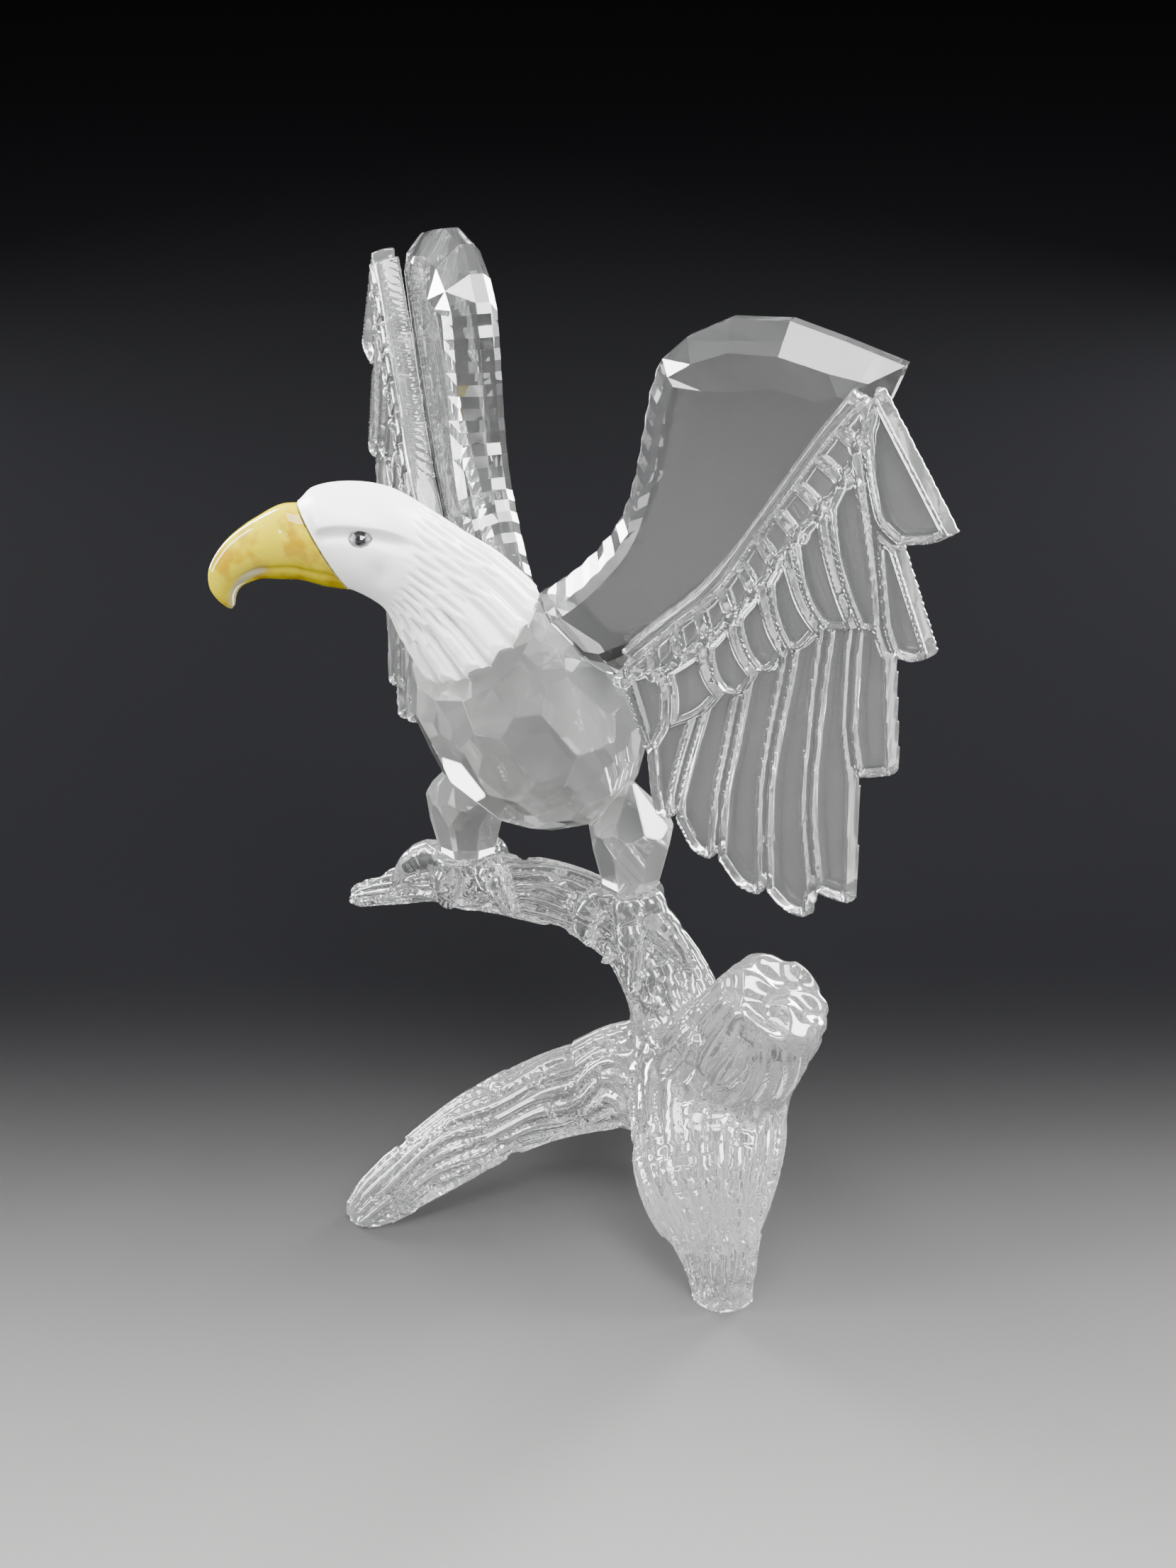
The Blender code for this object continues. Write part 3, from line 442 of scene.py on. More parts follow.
def beak_finish():
    """Yellow stone with darker golden clouds by a noise, which are painted refraction blotches, and paler
    by the pale_arc attribute inside the hook.
    """
    made = crystal("yellow_crystal", (0.58, 0.48, 0.0), 0.04, transmission=0.25, gloss=0.2)
    tree = made.node_tree
    add = node_maker(tree)
    place = add("ShaderNodeTexCoord")
    # Painted refraction: darker golden clouds by a noise stand in for the blotches that the head seen
    # through the beak makes
    painted_refraction_clouds = add("ShaderNodeTexNoise", Scale=330.0, Detail=2.0)
    tree.links.new(place.outputs["Object"], painted_refraction_clouds.inputs["Vector"])
    tone = add("ShaderNodeValToRGB")
    stops = tone.color_ramp.elements
    stops[0].position, stops[0].color = 0.48, (0.58, 0.48, 0.0, 1)
    stops[1].position, stops[1].color = 0.62, (0.42, 0.27, 0.0, 1)
    tree.links.new(painted_refraction_clouds.outputs["Fac"], tone.inputs["Fac"])
    # A greyer, paler arc inside the hook, by the pale_arc attribute
    pale_arc = add("ShaderNodeAttribute", attribute_name="pale_arc")
    pale_arc_mix = add("ShaderNodeMix", data_type="RGBA")
    pale_arc_mix.inputs[7].default_value = (0.40, 0.38, 0.28, 1.0)
    tree.links.new(pale_arc.outputs["Fac"], pale_arc_mix.inputs["Factor"])
    tree.links.new(tone.outputs["Color"], pale_arc_mix.inputs[6])
    tree.links.new(pale_arc_mix.outputs[2], tree.nodes["Principled BSDF"].inputs["Base Color"])
    return made


# Cut stones: the solid's own facets, with the faint ground edge between two of them

def cut_stone(node, look, edge_width):
    """The node's mesh merged to true facets, and every edge eased by a narrow bevel."""
    work = bmesh.new()
    work.from_mesh(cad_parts[node].data)
    bmesh.ops.remove_doubles(work, verts=work.verts, dist=WELD)
    bmesh.ops.dissolve_limit(work, angle_limit=FACET_ANGLE, verts=work.verts, edges=work.edges)
    eased_stone(work, node + "_cut", node, look, edge_width)


def eased_stone(work, name, node, look, edge_width):
    """Every edge eased by a narrow round, and the stone put in its node's place.

    Its painted_facet_shade attribute is a scattered number for each facet, which sets that facet's
    painted shade, and 1 on the rounds between them, which keep the stone's full colour.
    """
    sharp = [e for e in work.edges if e.calc_face_angle(0) > EDGE_ANGLE]
    bmesh.ops.bevel(work, geom=sharp, offset=edge_width * MM, segments=2, affect="EDGES",
                    clamp_overlap=True)
    bmesh.ops.remove_doubles(work, verts=work.verts, dist=SLIVER)
    mesh = bpy.data.meshes.new(name)
    work.to_mesh(mesh)
    work.free()
    area = np.zeros(len(mesh.polygons))
    mesh.polygons.foreach_get("area", area)
    # Painted facet shading: a scattered share for each facet, and 1 on the narrow rounds, which keep the
    # stone's full colour
    tone = np.where(area < (5 * edge_width * MM) ** 2, 1.0, scatter(np.arange(len(area)), 2.0))
    mesh.attributes.new("painted_facet_shade", "FLOAT", "FACE").data.foreach_set("value", tone.astype(np.float32))
    item = bpy.data.objects.new(name, mesh)
    bpy.context.scene.collection.objects.link(item)
    mesh.materials.append(look)
    seat(item, "clear_crystal", node)


def inset_outline(outline, width):
    """The outline moved in by a width, corner by corner, each along its two edges' middle line."""
    edges = (outline - np.roll(outline, 1, axis=0), np.roll(outline, -1, axis=0) - outline)
    first, second = (np.column_stack([e[:, 1], -e[:, 0]]) / np.linalg.norm(e, axis=1)[:, None]
                     for e in edges)
    middle = first + second
    return outline + np.reshape(width, (-1, 1)) * middle / np.einsum("ij,ij->i", middle, first)[:, None]


def make_plates(look):
    """Both wing plates: rings of one outline, moved in by each ring's widths at each ring's depth."""
    corners = np.array(PLATE_OUTLINE)
    lead = smooth_curve(corners[:LEAD_CORNERS], LEAD_FACETS + 1)
    rest = len(corners) - LEAD_CORNERS - len(TOP_SLOPE)
    outline = np.vstack([lead, corners[LEAD_CORNERS:]])
    slope = np.concatenate([np.full(len(lead), LEAD_SLOPE), TOP_SLOPE, np.full(rest, REAR_SLOPE)])
    table = np.concatenate([np.full(len(lead), LEAD_TABLE), TOP_TABLE, np.full(rest, REAR_TABLE)])
    nick = np.concatenate([LEAD_NICK * (np.arange(len(lead)) % 2), np.zeros(len(outline) - len(lead))])
    back = -PLATE_THICKNESS / 2
    rings = ((inset_outline(outline, PLATE_BACK_BEVEL + nick), back),
             (inset_outline(outline, nick), back + PLATE_BACK_BEVEL),
             (inset_outline(outline, nick), back + PLATE_BACK_BEVEL + PLATE_EDGE),
             (inset_outline(outline, slope + nick), PLATE_STEP), (inset_outline(outline, table), -back))
    flat = np.vstack([np.column_stack([ring, np.full(len(ring), depth)]) for ring, depth in rings])
    for side, word in ((1, "left"), (-1, "right")):
        laid = np.column_stack([side * flat[:, 0], -flat[:, 2], flat[:, 1]])
        place = WING_OFFSET * np.array([side * math.sin(WING_SWEEP), -math.cos(WING_SWEEP), 0])
        work = bmesh.new()
        mesh = bpy.data.meshes.new("plate")
        mesh.from_pydata((centred(turned(laid, place, side * WING_SWEEP)) * MM).tolist(), [],
                         skin_faces(len(rings), len(outline)))
        work.from_mesh(mesh)
        bmesh.ops.recalc_face_normals(work, faces=work.faces)
        eased_stone(work, "ground_plate_" + word, "wing_plate_" + word, look, PLATE_EASE)


# Feather sheets

def ribbon(curve_a, curve_b, count=40):
    """A closed outline: along one curve, then back along the other."""
    return np.vstack([smooth_curve(curve_a, count), smooth_curve(curve_b, count)[::-1]])


def feather_outline(rib, foot, next_rib):
    """Down one rib, round the foot, and back up the next rib."""
    return np.vstack([smooth_curve(rib, 24), smooth_curve((rib[-1], *foot), 10)[1:],
                      smooth_curve(next_rib, 24)[::-1]])


def pressed_height(inside, base, rim, crest, spread):
    """Height by the distance inside an outline: a quarter ellipse at the edge, then a hollow vane.

    The rim is a bell curve on top of the vane, highest at the crest. Outside, the height is negative.
    """
    edge = np.sqrt(np.clip(1 - np.clip(1 - inside / SHEET_ROUND, 0, 1) ** 2, 0, 1))
    lift = rim * np.exp(-((inside - crest) / spread) ** 2)
    return np.where(inside > 0, edge * base + edge * lift, inside)


def line_distance(points, line):
    """Distance to the nearest of a line's segments."""
    best = np.full(len(points), 1e9)
    for a, b in zip(line, line[1:]):
        reach = b - a
        t = np.clip((points - a) @ reach / (reach @ reach), 0, 1)
        best = np.minimum(best, np.linalg.norm(points - a - t[:, None] * reach, axis=1))
    return best


def sheet_relief(points):
    """Height of the sheet's front over its flat back: the highest of all its forms at each place.

    Webs are half ellipses along the ribs. A covert also hides whatever is more than a little inside it.
    """
    height = np.full(len(points), NO_SHEET)
    for rib in LONG_RIBS[1:-1] + COVERT_RIBS[1:-1]:
        gap = line_distance(points, smooth_curve(rib, 30)[:-2])
        web = WEB_HEIGHT * np.sqrt(np.clip(1 - (gap / WEB) ** 2, 0, 1))
        height = np.maximum(height, np.where(gap < WEB, web, NO_SHEET))
    for rib, foot, next_rib in zip(LONG_RIBS, LONG_FEET, LONG_RIBS[1:]):
        inside = inside_distance(points, feather_outline(rib, foot, next_rib))
        height = np.maximum(height, pressed_height(inside, *LONG_FORM))
    for rib, tip, next_rib in zip(COVERT_RIBS, COVERT_TIPS, COVERT_RIBS[1:]):
        inside = inside_distance(points, feather_outline(rib, (tip, next_rib[-1]), next_rib))
        laid = pressed_height(inside, *COVERT_FORM)
        height = np.where(inside > 0.5, laid, np.maximum(height, laid))
    edge = smooth_curve(RUFFLE_EDGE, 10 * RUFFLE_CELLS + 1)
    top = smooth_curve(BAND_FOOT, 10 * RUFFLE_CELLS + 1)
    for k in range(RUFFLE_CELLS):
        lower, upper = edge[10 * k:10 * k + 11], top[10 * k:10 * k + 11]
        outward = (lower - upper) / np.linalg.norm(lower - upper, axis=1)[:, None]
        reach = RUFFLE_SCALLOP * np.sin(np.linspace(0, np.pi, 11)) - RUFFLE_OVERLAP
        scallop = lower + outward * reach[:, None]
        inside = inside_distance(points, np.vstack([upper, scallop[::-1]]))
        height = np.maximum(height, pressed_height(inside, *RUFFLE_FORM))
        off = np.linalg.norm(points - lower[0] - RUFFLE_OVERLAP * outward[0], axis=1)
        bead = RUFFLE_FORM[0] + np.sqrt(np.clip(RUFFLE_BEAD ** 2 - off ** 2, 0, 1))
        height = np.maximum(height, np.where(off < RUFFLE_BEAD, bead, NO_SHEET))
    inside = inside_distance(points, ribbon(BAND_TOP, BAND_FOOT))
    return np.maximum(height, pressed_height(inside, *BAND_FORM))


def make_sheets(look):
    """Both pressed feather sheets: one relief, laid on each wing plate and mirrored."""
    low = np.array(SHEET_LOW)
    counts = np.ceil((np.array(SHEET_HIGH) - low) / SHEET_PITCH).astype(int)
    out, up, depth = (low[k] + SHEET_PITCH * np.arange(counts[k]) for k in range(3))
    flat = np.stack(np.meshgrid(out, up, indexing="ij"), -1).reshape(-1, 2)
    height = sheet_relief(flat).reshape(counts[0], counts[1], 1)
    field = np.clip(np.maximum(depth - height, -depth), -1.0, 1.0)
    points, faces = field_surface(field, low, SHEET_PITCH)
    for side, word in ((1, "left"), (-1, "right")):
        laid = np.column_stack([side * points[:, 0],
                                -points[:, 2] - PLATE_THICKNESS / 2 - CLEARANCE, points[:, 1]])
        place = WING_OFFSET * np.array([side * math.sin(WING_SWEEP), -math.cos(WING_SWEEP), 0])
        laid = centred(turned(laid, place, side * WING_SWEEP))
        sheet = add_piece("pressed_feathers_" + word, laid, faces.tolist(), look, 50)
        seat(sheet, "pressed_crystal", "wing_feathers_" + word)


# Head, beak and eyes

def lofted(sections, rows, around, shape):
    """Rings over smoothed sections: each an ellipse of its half sizes, tipped, pushed out and along."""
    x, z, tall, wide, tip = smooth_curve(sections, rows).T[:, :, None]
    share = np.linspace(0, 1, rows)[:, None]
    turn = np.linspace(0, math.tau, around, endpoint=False)[None, :]
    push, along = shape(share, turn)
    tip = np.radians(tip)
    rise = (tall + push) * np.cos(turn)
    return np.stack([x + rise * np.sin(tip) + along * np.cos(tip), (wide + push) * np.sin(turn) + 0 * x,
                     z + rise * np.cos(tip) - along * np.sin(tip)], -1)


def head_place(points):
    """From the head's own frame, where it looks along x, to its place over the body."""
    return centred(turned(points, HEAD_CENTRE, -math.pi / 2 - HEAD_TURN))


def narrow(value, width):
    """1 at each whole number and 0 away from it: a raised cosine of the given width."""
    off = np.abs(value - np.round(value))
    return 0.5 + 0.5 * np.cos(math.pi * np.clip(off / width, 0, 1))


def head_shape(share, turn):
    """Brow, cheek, neck strokes and feather lobes, as a push outward and a push along the neck.

    Share runs from the beak's seat to the rim and turn from the crown round. Lobes, splits and strokes
    are raised cosines round the neck, faded in and out along it, and the strokes are half sine waves
    in scattered rows. The brow is a bell curve cut off at its edge with a furrow under it.
    """
    angle = np.abs((turn + math.pi) % math.tau - math.pi)
    lobes = NECK_LOBES * turn / math.tau
    groove = -GROOVE_DEPTH * steady(0.56, 0.78, share) * narrow(lobes + 0.5, 0.22)
    lasting = steady(0.66, 0.76, share) * (1 - steady(0.93, 0.98, share))
    split = -SPLIT_DEPTH * lasting * narrow(2 * lobes + 0.5, 0.34)
    fine = 2.5 * lobes + 0.35 * np.sin(7 * share + 2 * turn)
    column = np.floor(fine + 0.5)
    step = STROKE_ROWS * share + 0.5 * (column % 2) + 0.35 * scatter(column, 3.0)
    stroke = narrow(fine, 0.36) * np.sin(math.pi * (step - np.floor(step))) ** 1.2
    strokes = -STROKE_DEPTH * steady(0.36, 0.48, share) * (1 - steady(0.68, 0.80, share)) * stroke
    edge = 1.03 - 0.45 * np.clip(share - 0.20, 0, 1)
    front = steady(0.0, 0.05, share) * (1 - steady(0.26, 0.44, share))
    ridge = (1 - steady(edge - 0.05, edge + 0.07, angle)) * np.exp(-((angle - edge) / 0.75) ** 2)
    furrow = np.exp(-((angle - edge - 0.13) / 0.10) ** 2)
    brow = front * (BROW_RISE * ridge - BROW_FURROW * furrow)
    cheek = -CHEEK_HOLLOW * np.exp(-((share - 0.27) / 0.05) ** 2 - ((angle - 1.75) / 0.25) ** 2)
    rim = steady(0.84, 1.0, share) * LOBE_REACH * np.abs(np.cos(math.pi * lobes)) ** 0.7
    return groove + split + strokes + brow + cheek, rim - RIM_TUCK * steady(0.80, 1.0, share)


def grown_copy(node, grow):
    """A copy of a node's mesh as a cutter, each vertex pushed out from the mesh's middle."""
    work = bmesh.new()
    work.from_mesh(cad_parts[node].data)
    bmesh.ops.remove_doubles(work, verts=work.verts, dist=WELD)
    middle = sum((v.co for v in work.verts), Vector()) / len(work.verts)
    for v in work.verts:
        v.co += (v.co - middle).normalized() * grow * MM
    mesh = bpy.data.meshes.new(node + "_cutter")
    work.to_mesh(mesh)
    work.free()
    item = bpy.data.objects.new(node + "_cutter", mesh)
    bpy.context.scene.collection.objects.link(item)
    return item


def without_flaps(work):
    """The mesh in triangles, without those that lie on the same three corners as another one."""
    bmesh.ops.triangulate(work, faces=work.faces)
    flat = bpy.data.meshes.new("flat")
    work.to_mesh(flat)
    corners = np.zeros(len(flat.loops), np.int32)
    flat.loops.foreach_get("vertex_index", corners)
    bpy.data.meshes.remove(flat)
    _, kind, count = np.unique(np.sort(corners.reshape(-1, 3), axis=1), axis=0, return_inverse=True,
                               return_counts=True)
    doubled = np.flatnonzero(count[kind.ravel()] > 1)
    work.faces.ensure_lookup_table()
    bmesh.ops.delete(work, geom=[work.faces[k] for k in doubled], context="FACES")


def ground_away(item, nodes, grow):
    """Cuts grown copies of the nodes out of the piece, and keeps the result in its mesh."""
    for node in nodes:
        cutter = grown_copy(node, grow)
        step = item.modifiers.new(node, "BOOLEAN")
        step.operation = "DIFFERENCE"
        step.solver = "EXACT"
        step.object = cutter
        state = bpy.context.evaluated_depsgraph_get()
        fresh = bpy.data.meshes.new_from_object(item.evaluated_get(state))
        work = bmesh.new()
        work.from_mesh(fresh)
        bmesh.ops.remove_doubles(work, verts=work.verts, dist=SLIVER)
        without_flaps(work)
        work.to_mesh(fresh)
        work.free()
        item.modifiers.clear()
        item.data = fresh
        bpy.data.objects.remove(cutter)


def make_head(look):
    """The frosted head: rings from the beak's seat to the rim, less the body's and the eyes' seats."""
    rings = lofted(HEAD_SECTIONS, 240, 24 * NECK_LOBES, head_shape)
    head = add_piece("frosted_head", head_place(rings.reshape(-1, 3)), skin_faces(*rings.shape[:2]), look)
    ground_away(head, ("body", "eye_left", "eye_right"), CLEARANCE)
    seat(head, "frosted_crystal", "head")


def beak_shape(share, turn):
    """A shallow mouth line below the middle of each side, and a nostril dimple near the seat."""
    angle = np.abs((turn + math.pi) % math.tau - math.pi)
    mouth = -MOUTH_DEPTH * np.exp(-((angle - 2.05) / 0.10) ** 2) * (1 - steady(0.45, 0.7, share))
    nostril = -NOSTRIL_DEPTH * np.exp(-((angle - 0.95) / 0.22) ** 2 - ((share - 0.20) / 0.035) ** 2)
    return mouth + nostril, 0 * share * turn


def make_beak(look):
    """The hooked beak, with its pale_arc attribute 1 on an arc round the inside of the hook."""
    rings = lofted(BEAK_SECTIONS, 110, 96, beak_shape)
    lean = math.radians(BEAK_SECTIONS[0][4])
    rings = rings + CLEARANCE * np.array([math.cos(lean), 0.0, -math.sin(lean)])
    from_middle = np.hypot(rings[..., 0] - PALE_ARC_CENTRE[0], rings[..., 2] - PALE_ARC_CENTRE[1])
    off_arc = (from_middle - PALE_ARC_CENTRE[2]) / PALE_ARC_SPREAD
    pale_arc = np.exp(-off_arc ** 2) * steady(11.0, 13.0, rings[..., 0])
    beak = add_piece("yellow_beak", head_place(rings.reshape(-1, 3)), skin_faces(*rings.shape[:2]), look)
    paler = beak.data.attributes.new("pale_arc", "FLOAT", "POINT")
    paler.data.foreach_set("value", pale_arc.ravel().astype(np.float32))
    seat(beak, "yellow_crystal", "beak")


# Branch

def limb_frame(path, points, along):
    """Turn of each point round a limb's axis, from a side direction carried along it."""
    walked = np.concatenate([[0], np.cumsum(np.linalg.norm(np.diff(path[:, :3], axis=0), axis=1))])
    heads = np.gradient(path[:, :3], axis=0)
    heads /= np.linalg.norm(heads, axis=1)[:, None]
    sides = [np.cross(heads[0], (0.0, 0.3, 1.0))]
    for head in heads:
        sides.append(sides[-1] - head * np.dot(sides[-1], head))
        sides[-1] /= np.linalg.norm(sides[-1])
    sides = np.array(sides[1:])
    others = np.cross(heads, sides)

    def at(values):
        """The values where each point's distance along the limb falls."""
        return np.column_stack([np.interp(along, walked, values[:, k]) for k in range(values.shape[1])])

    away = points - at(path[:, :3])
    return np.arctan2(np.einsum("ij,ij->i", away, at(others)), np.einsum("ij,ij->i", away, at(sides)))


def bark_height(along, turn, radius, width, length, seed):
    """Rows of long round drops: each ridge is cut into domes whose two ends are half circles.

    The ridges run along the limb and sway by two sines. A drop's length, place and height are
    scattered from ridge to ridge, and its height is 1 at the most.
    """
    ridges = round(math.tau * radius / width)
    sway = 0.45 * np.sin(along / 5.5 + seed) + 0.22 * np.sin(along / 2.3 + 2 * turn + 2 * seed)
    across = ridges * (turn + sway * width / radius) / math.tau
    row = np.floor(across) % ridges
    side = 2 * (across - np.floor(across)) - 1
    step = along / length * (0.75 + 0.5 * scatter(row, seed + 0.3)) + 3 * scatter(row, seed)
    drop = np.floor(step)
    blunt = 1.7 * width / length
    end = np.clip(np.abs(2 * (step - drop) - 1) - 1 + blunt, 0, None) / blunt
    dome = np.sqrt(1 - 0.96 * side ** 2) * np.clip(1 - end ** 2, 0, 1) ** 0.7
    return dome * (0.45 + 0.55 * scatter(row + 31 * drop, seed + 0.5))


def window(shape, low, centre_low, centre_high, reach):
    """The part of the grid within reach of a box, as slices, and its three axes."""
    first = np.clip(np.floor((centre_low - reach - low) / BRANCH_PITCH).astype(int), 0, shape)
    last = np.clip(np.ceil((centre_high + reach - low) / BRANCH_PITCH).astype(int), 1, shape)
    x, y, z = (low[k] + BRANCH_PITCH * np.arange(first[k], last[k]) for k in range(3))
    box = tuple(slice(a, b) for a, b in zip(first, last))
    return box, x[:, None, None], y[None, :, None], z[None, None, :]


def spread_field(field, low, path, blend):
    """Melts a chain of round cones into the field, each cone worked out in its own window."""
    gaps = np.full(field.shape, 9.0, np.float32)
    for a, b in zip(path, path[1:]):
        reach = b[:3] - a[:3]
        box, x, y, z = window(field.shape, low, np.minimum(a, b)[:3], np.maximum(a, b)[:3],
                              max(a[3], b[3]) + 3)
        x, y, z = x - a[0], y - a[1], z - a[2]
        t = np.clip((x * reach[0] + y * reach[1] + z * reach[2]) / (reach @ reach), 0, 1)
        gap = np.sqrt((x - t * reach[0]) ** 2 + (y - t * reach[1]) ** 2 + (z - t * reach[2]) ** 2)
        gaps[box] = np.minimum(gaps[box], gap - a[3] - t * (b[3] - a[3]))
    box = window(field.shape, low, path[:, :3].min(0), path[:, :3].max(0), path[:, 3].max() + 3)[0]
    field[box] = melt(field[box], gaps[box], blend)


def laid_on_perch(points, lift):
    """Points brought in along the line to the perch's middle, until they lie on its bark."""
    perch = smooth_curve(PERCH, 80)
    away = points[:, None] - perch[None, :, :3]
    gap = np.linalg.norm(away, axis=2)
    near = (gap - perch[:, 3]).argmin(1)
    rows = np.arange(len(points))
    reach = np.minimum(gap[rows, near], perch[near, 3] + lift)
    return perch[near, :3] + away[rows, near] * (reach / gap[rows, near])[:, None]


def toe_tube(ankle, joints):
    """A toe laid on the perch, with knuckles and fine scale ribs, and a smooth talon at its end."""
    middle = np.array(ankle)
    places = np.vstack([middle + (0.0, 0.0, -2.2), middle + np.array(joints)])
    path = smooth_curve(np.column_stack([places, TOE_RADIUS * np.array(TOE_TAPER)]), 90)
    share = np.linspace(0, 1, 90)
    scaly = 1 - steady(0.62, 0.74, share)
    laid = laid_on_perch(path[:, :3], 0.45 * path[:, 3])
    path[:, :3] += steady(0.1, 0.45, share)[:, None] * (laid - path[:, :3])
    path[:, 3] *= 1 + scaly * (KNUCKLE_RISE * np.cos(TOE_KNUCKLES * math.tau * share)
                               - SCALE_DEPTH * narrow(TOE_SCALES * share, 0.36))
    return path


def branch_field(low, counts):
    """Distance to the limbs melted together, then ankles and toes, cut by the stump, seats and floor."""
    field = np.full(counts, 4.0, np.float32)
    for path in LIMBS:
        spread_field(field, low, smooth_curve(path, 40), LIMB_BLEND)
    end, before = np.array(STUMP[-1][:3]), np.array(STUMP[-2][:3])
    lean = (end - before) / np.linalg.norm(end - before)
    box, x, y, z = window(field.shape, low, end, end, 12)
    past = (x - end[0]) * lean[0] + (y - end[1]) * lean[1] + (z - end[2]) * lean[2]
    wide, narrower = math.tau / STUMP_DIMPLE, 1.7 * math.tau / STUMP_DIMPLE
    dimples = (np.sin(wide * (x + 0.6 * y) + 1.0) + np.sin(wide * (y - 0.4 * x) + 2.4)
               + 0.7 * np.sin(narrower * (0.8 * y + 0.5 * z) + 1.5 * np.sin(wide * x)))
    field[box] = -melt(-field[box], STUMP_DIMPLE_DEPTH * dimples - past, STUMP_BLEND)
    for side, toes in TOES.items():
        ankle = np.array(THIGH_FEET[side])
        shin = np.array([(ankle[0], ankle[1], ankle[2] + rise, radius) for rise, radius in ANKLE])
        spread_field(field, low, shin, ANKLE_BLEND)
        for joints in toes:
            spread_field(field, low, toe_tube(ankle, joints), TOE_BLEND)
        for bead in laid_on_perch(np.array(BEADS[side]), 0.2):
            ball = np.array([(*bead, BEAD_RADIUS), (*bead + 0.1, BEAD_RADIUS)])
            spread_field(field, low, ball, BEAD_BLEND)
        box, x, y, z = window(field.shape, low, ankle, ankle, 7)
        seat_cut = np.maximum(ankle[2] - CLEARANCE - z,
                              np.hypot(x - ankle[0], y - ankle[1]) - THIGH_SEAT)
        field[box] = np.maximum(field[box], -seat_cut)
    return np.maximum(field, -(low[2] + BRANCH_PITCH * np.arange(counts[2]))[None, None, :])


def make_branch(look):
    """The field's surface, lowered everywhere but on the toes and the tops of the drops of bark.

    Where limbs meet, their bark is mixed by weights that fall off fast with the distance from each.
    It fades out on the stump's face, and near the floor nothing moves up or down.
    """
    low = np.array(BRANCH_LOW)
    counts = np.ceil((np.array(BRANCH_HIGH) - low) / BRANCH_PITCH).astype(int)
    points, faces = field_surface(np.clip(branch_field(low, counts), -1.5, 1.5), low, BRANCH_PITCH)
    mesh = bpy.data.meshes.new("branch_guide")
    mesh.from_pydata(points.tolist(), [], faces.tolist())
    normals = np.zeros(3 * len(points))
    mesh.vertices.foreach_get("normal", normals)
    normals = normals.reshape(-1, 3)
    total, lift = np.full(len(points), 1e-30), np.zeros(len(points))
    for seed, path in enumerate(LIMBS):
        fine = smooth_curve(path, 40)
        reach = fine[:, 3].max() + 4
        near = ((points > fine[:, :3].min(0) - reach) & (points < fine[:, :3].max(0) + reach)).all(1)
        gap, along = tube_distance(points[near], fine)
        weight = np.exp(-np.clip(gap + 4, 0, 20) / BARK_SEAM)
        turn = limb_frame(fine, points[near], along)
        radius = 0.75 * fine[:, 3].max()
        lift[near] += weight * bark_height(along, turn, radius, *BARK_DROPS[seed], seed + 1)
        total[near] += weight
    lift = lift / total
    end, before = np.array(STUMP[-1][:3]), np.array(STUMP[-2][:3])
    past = (points - end) @ (end - before) / np.linalg.norm(end - before)
    off = np.linalg.norm(points - end, axis=1)
    raised = steady(0.0, 0.8, points[:, 2])
    barked = raised * (1 - steady(-2.4, -0.4, past) * (off < 12))
    bare = np.zeros(len(points))
    for side, toes in TOES.items():
        near = np.linalg.norm(points - THIGH_FEET[side], axis=1) < 20
        for joints in toes:
            gap = tube_distance(points[near], toe_tube(THIGH_FEET[side], joints)[::3])[0]
            bare[near] = np.maximum(bare[near], 1 - steady(0.0, 0.5, gap))
    sunk = BARK_DEPTH * ((lift - 1) * barked - BARE_SINK * (1 - barked)) * (1 - bare)
    outward = normals if (normals * (points - points.mean(0))).sum() > 0 else -normals
    outward[:, 2] *= raised
    shaped = points + sunk[:, None] * outward
    branch = add_piece("cast_branch", centred(shaped), faces.tolist(), look, 60)
    seat(branch, "clear_crystal", "branch")


# Tail

def make_tail(look):
    """A fan of feathers: rows from root to scalloped tip, thickest on the crests between feathers.

    The crests are the size of a cosine across the fan. The fan is swung back about its root.
    """
    columns, rows = 12 * TAIL_FEATHERS + 1, 60
    across = np.linspace(-1, 1, columns)[None, :]
    share = np.linspace(0, 1, rows)[:, None]
    rib = np.abs(np.cos(math.pi * TAIL_FEATHERS * (across + 1) / 2))
    width = TAIL_ROOT_WIDTH + (TAIL_TIP_WIDTH - TAIL_ROOT_WIDTH) * share ** 0.8
    reach = TAIL_LENGTH * (1 - 0.10 * across ** 2 - 0.06 * rib)
    front = TAIL_THICKNESS * (0.8 + 0.3 * rib ** 3) * (1 - 0.35 * share)
    x, z = 0.5 * width * across, -share * reach
    top = np.stack([x, -front + 0 * x, z], -1)
    base = np.stack([x, 0 * x, z], -1)
    grid = np.concatenate([top, base[:, ::-1]], axis=1)
    c, s = math.cos(TAIL_SWING), math.sin(TAIL_SWING)
    y, z = grid[..., 1], grid[..., 2]
    grid = np.stack([grid[..., 0], c * y - s * z, s * y + c * z], -1) + TAIL_ROOT
    points = centred(grid.reshape(-1, 3))
    tail = add_piece("pressed_tail", points, skin_faces(rows, 2 * columns), look, 50)
    ground_away(tail, ("body",), CLEARANCE)
    seat(tail, "pressed_crystal", "tail")


# Studio

def make_camera():
    """The photograph's camera: its place, its tilt down, its turn and its lens."""
    data = bpy.data.cameras.new("camera")
    data.lens = CAMERA_LENS
    data.sensor_width = CAMERA_SENSOR
    data.clip_start = 0.01
    data.clip_end = 10.0
    item = bpy.data.objects.new("camera", data)
    bpy.context.scene.collection.objects.link(item)
    item.location = Vector(CAMERA_PLACE) * MM
    item.rotation_euler = (math.pi / 2 - CAMERA_PITCH, 0.0, CAMERA_AZIMUTH)
    bpy.context.scene.camera = item


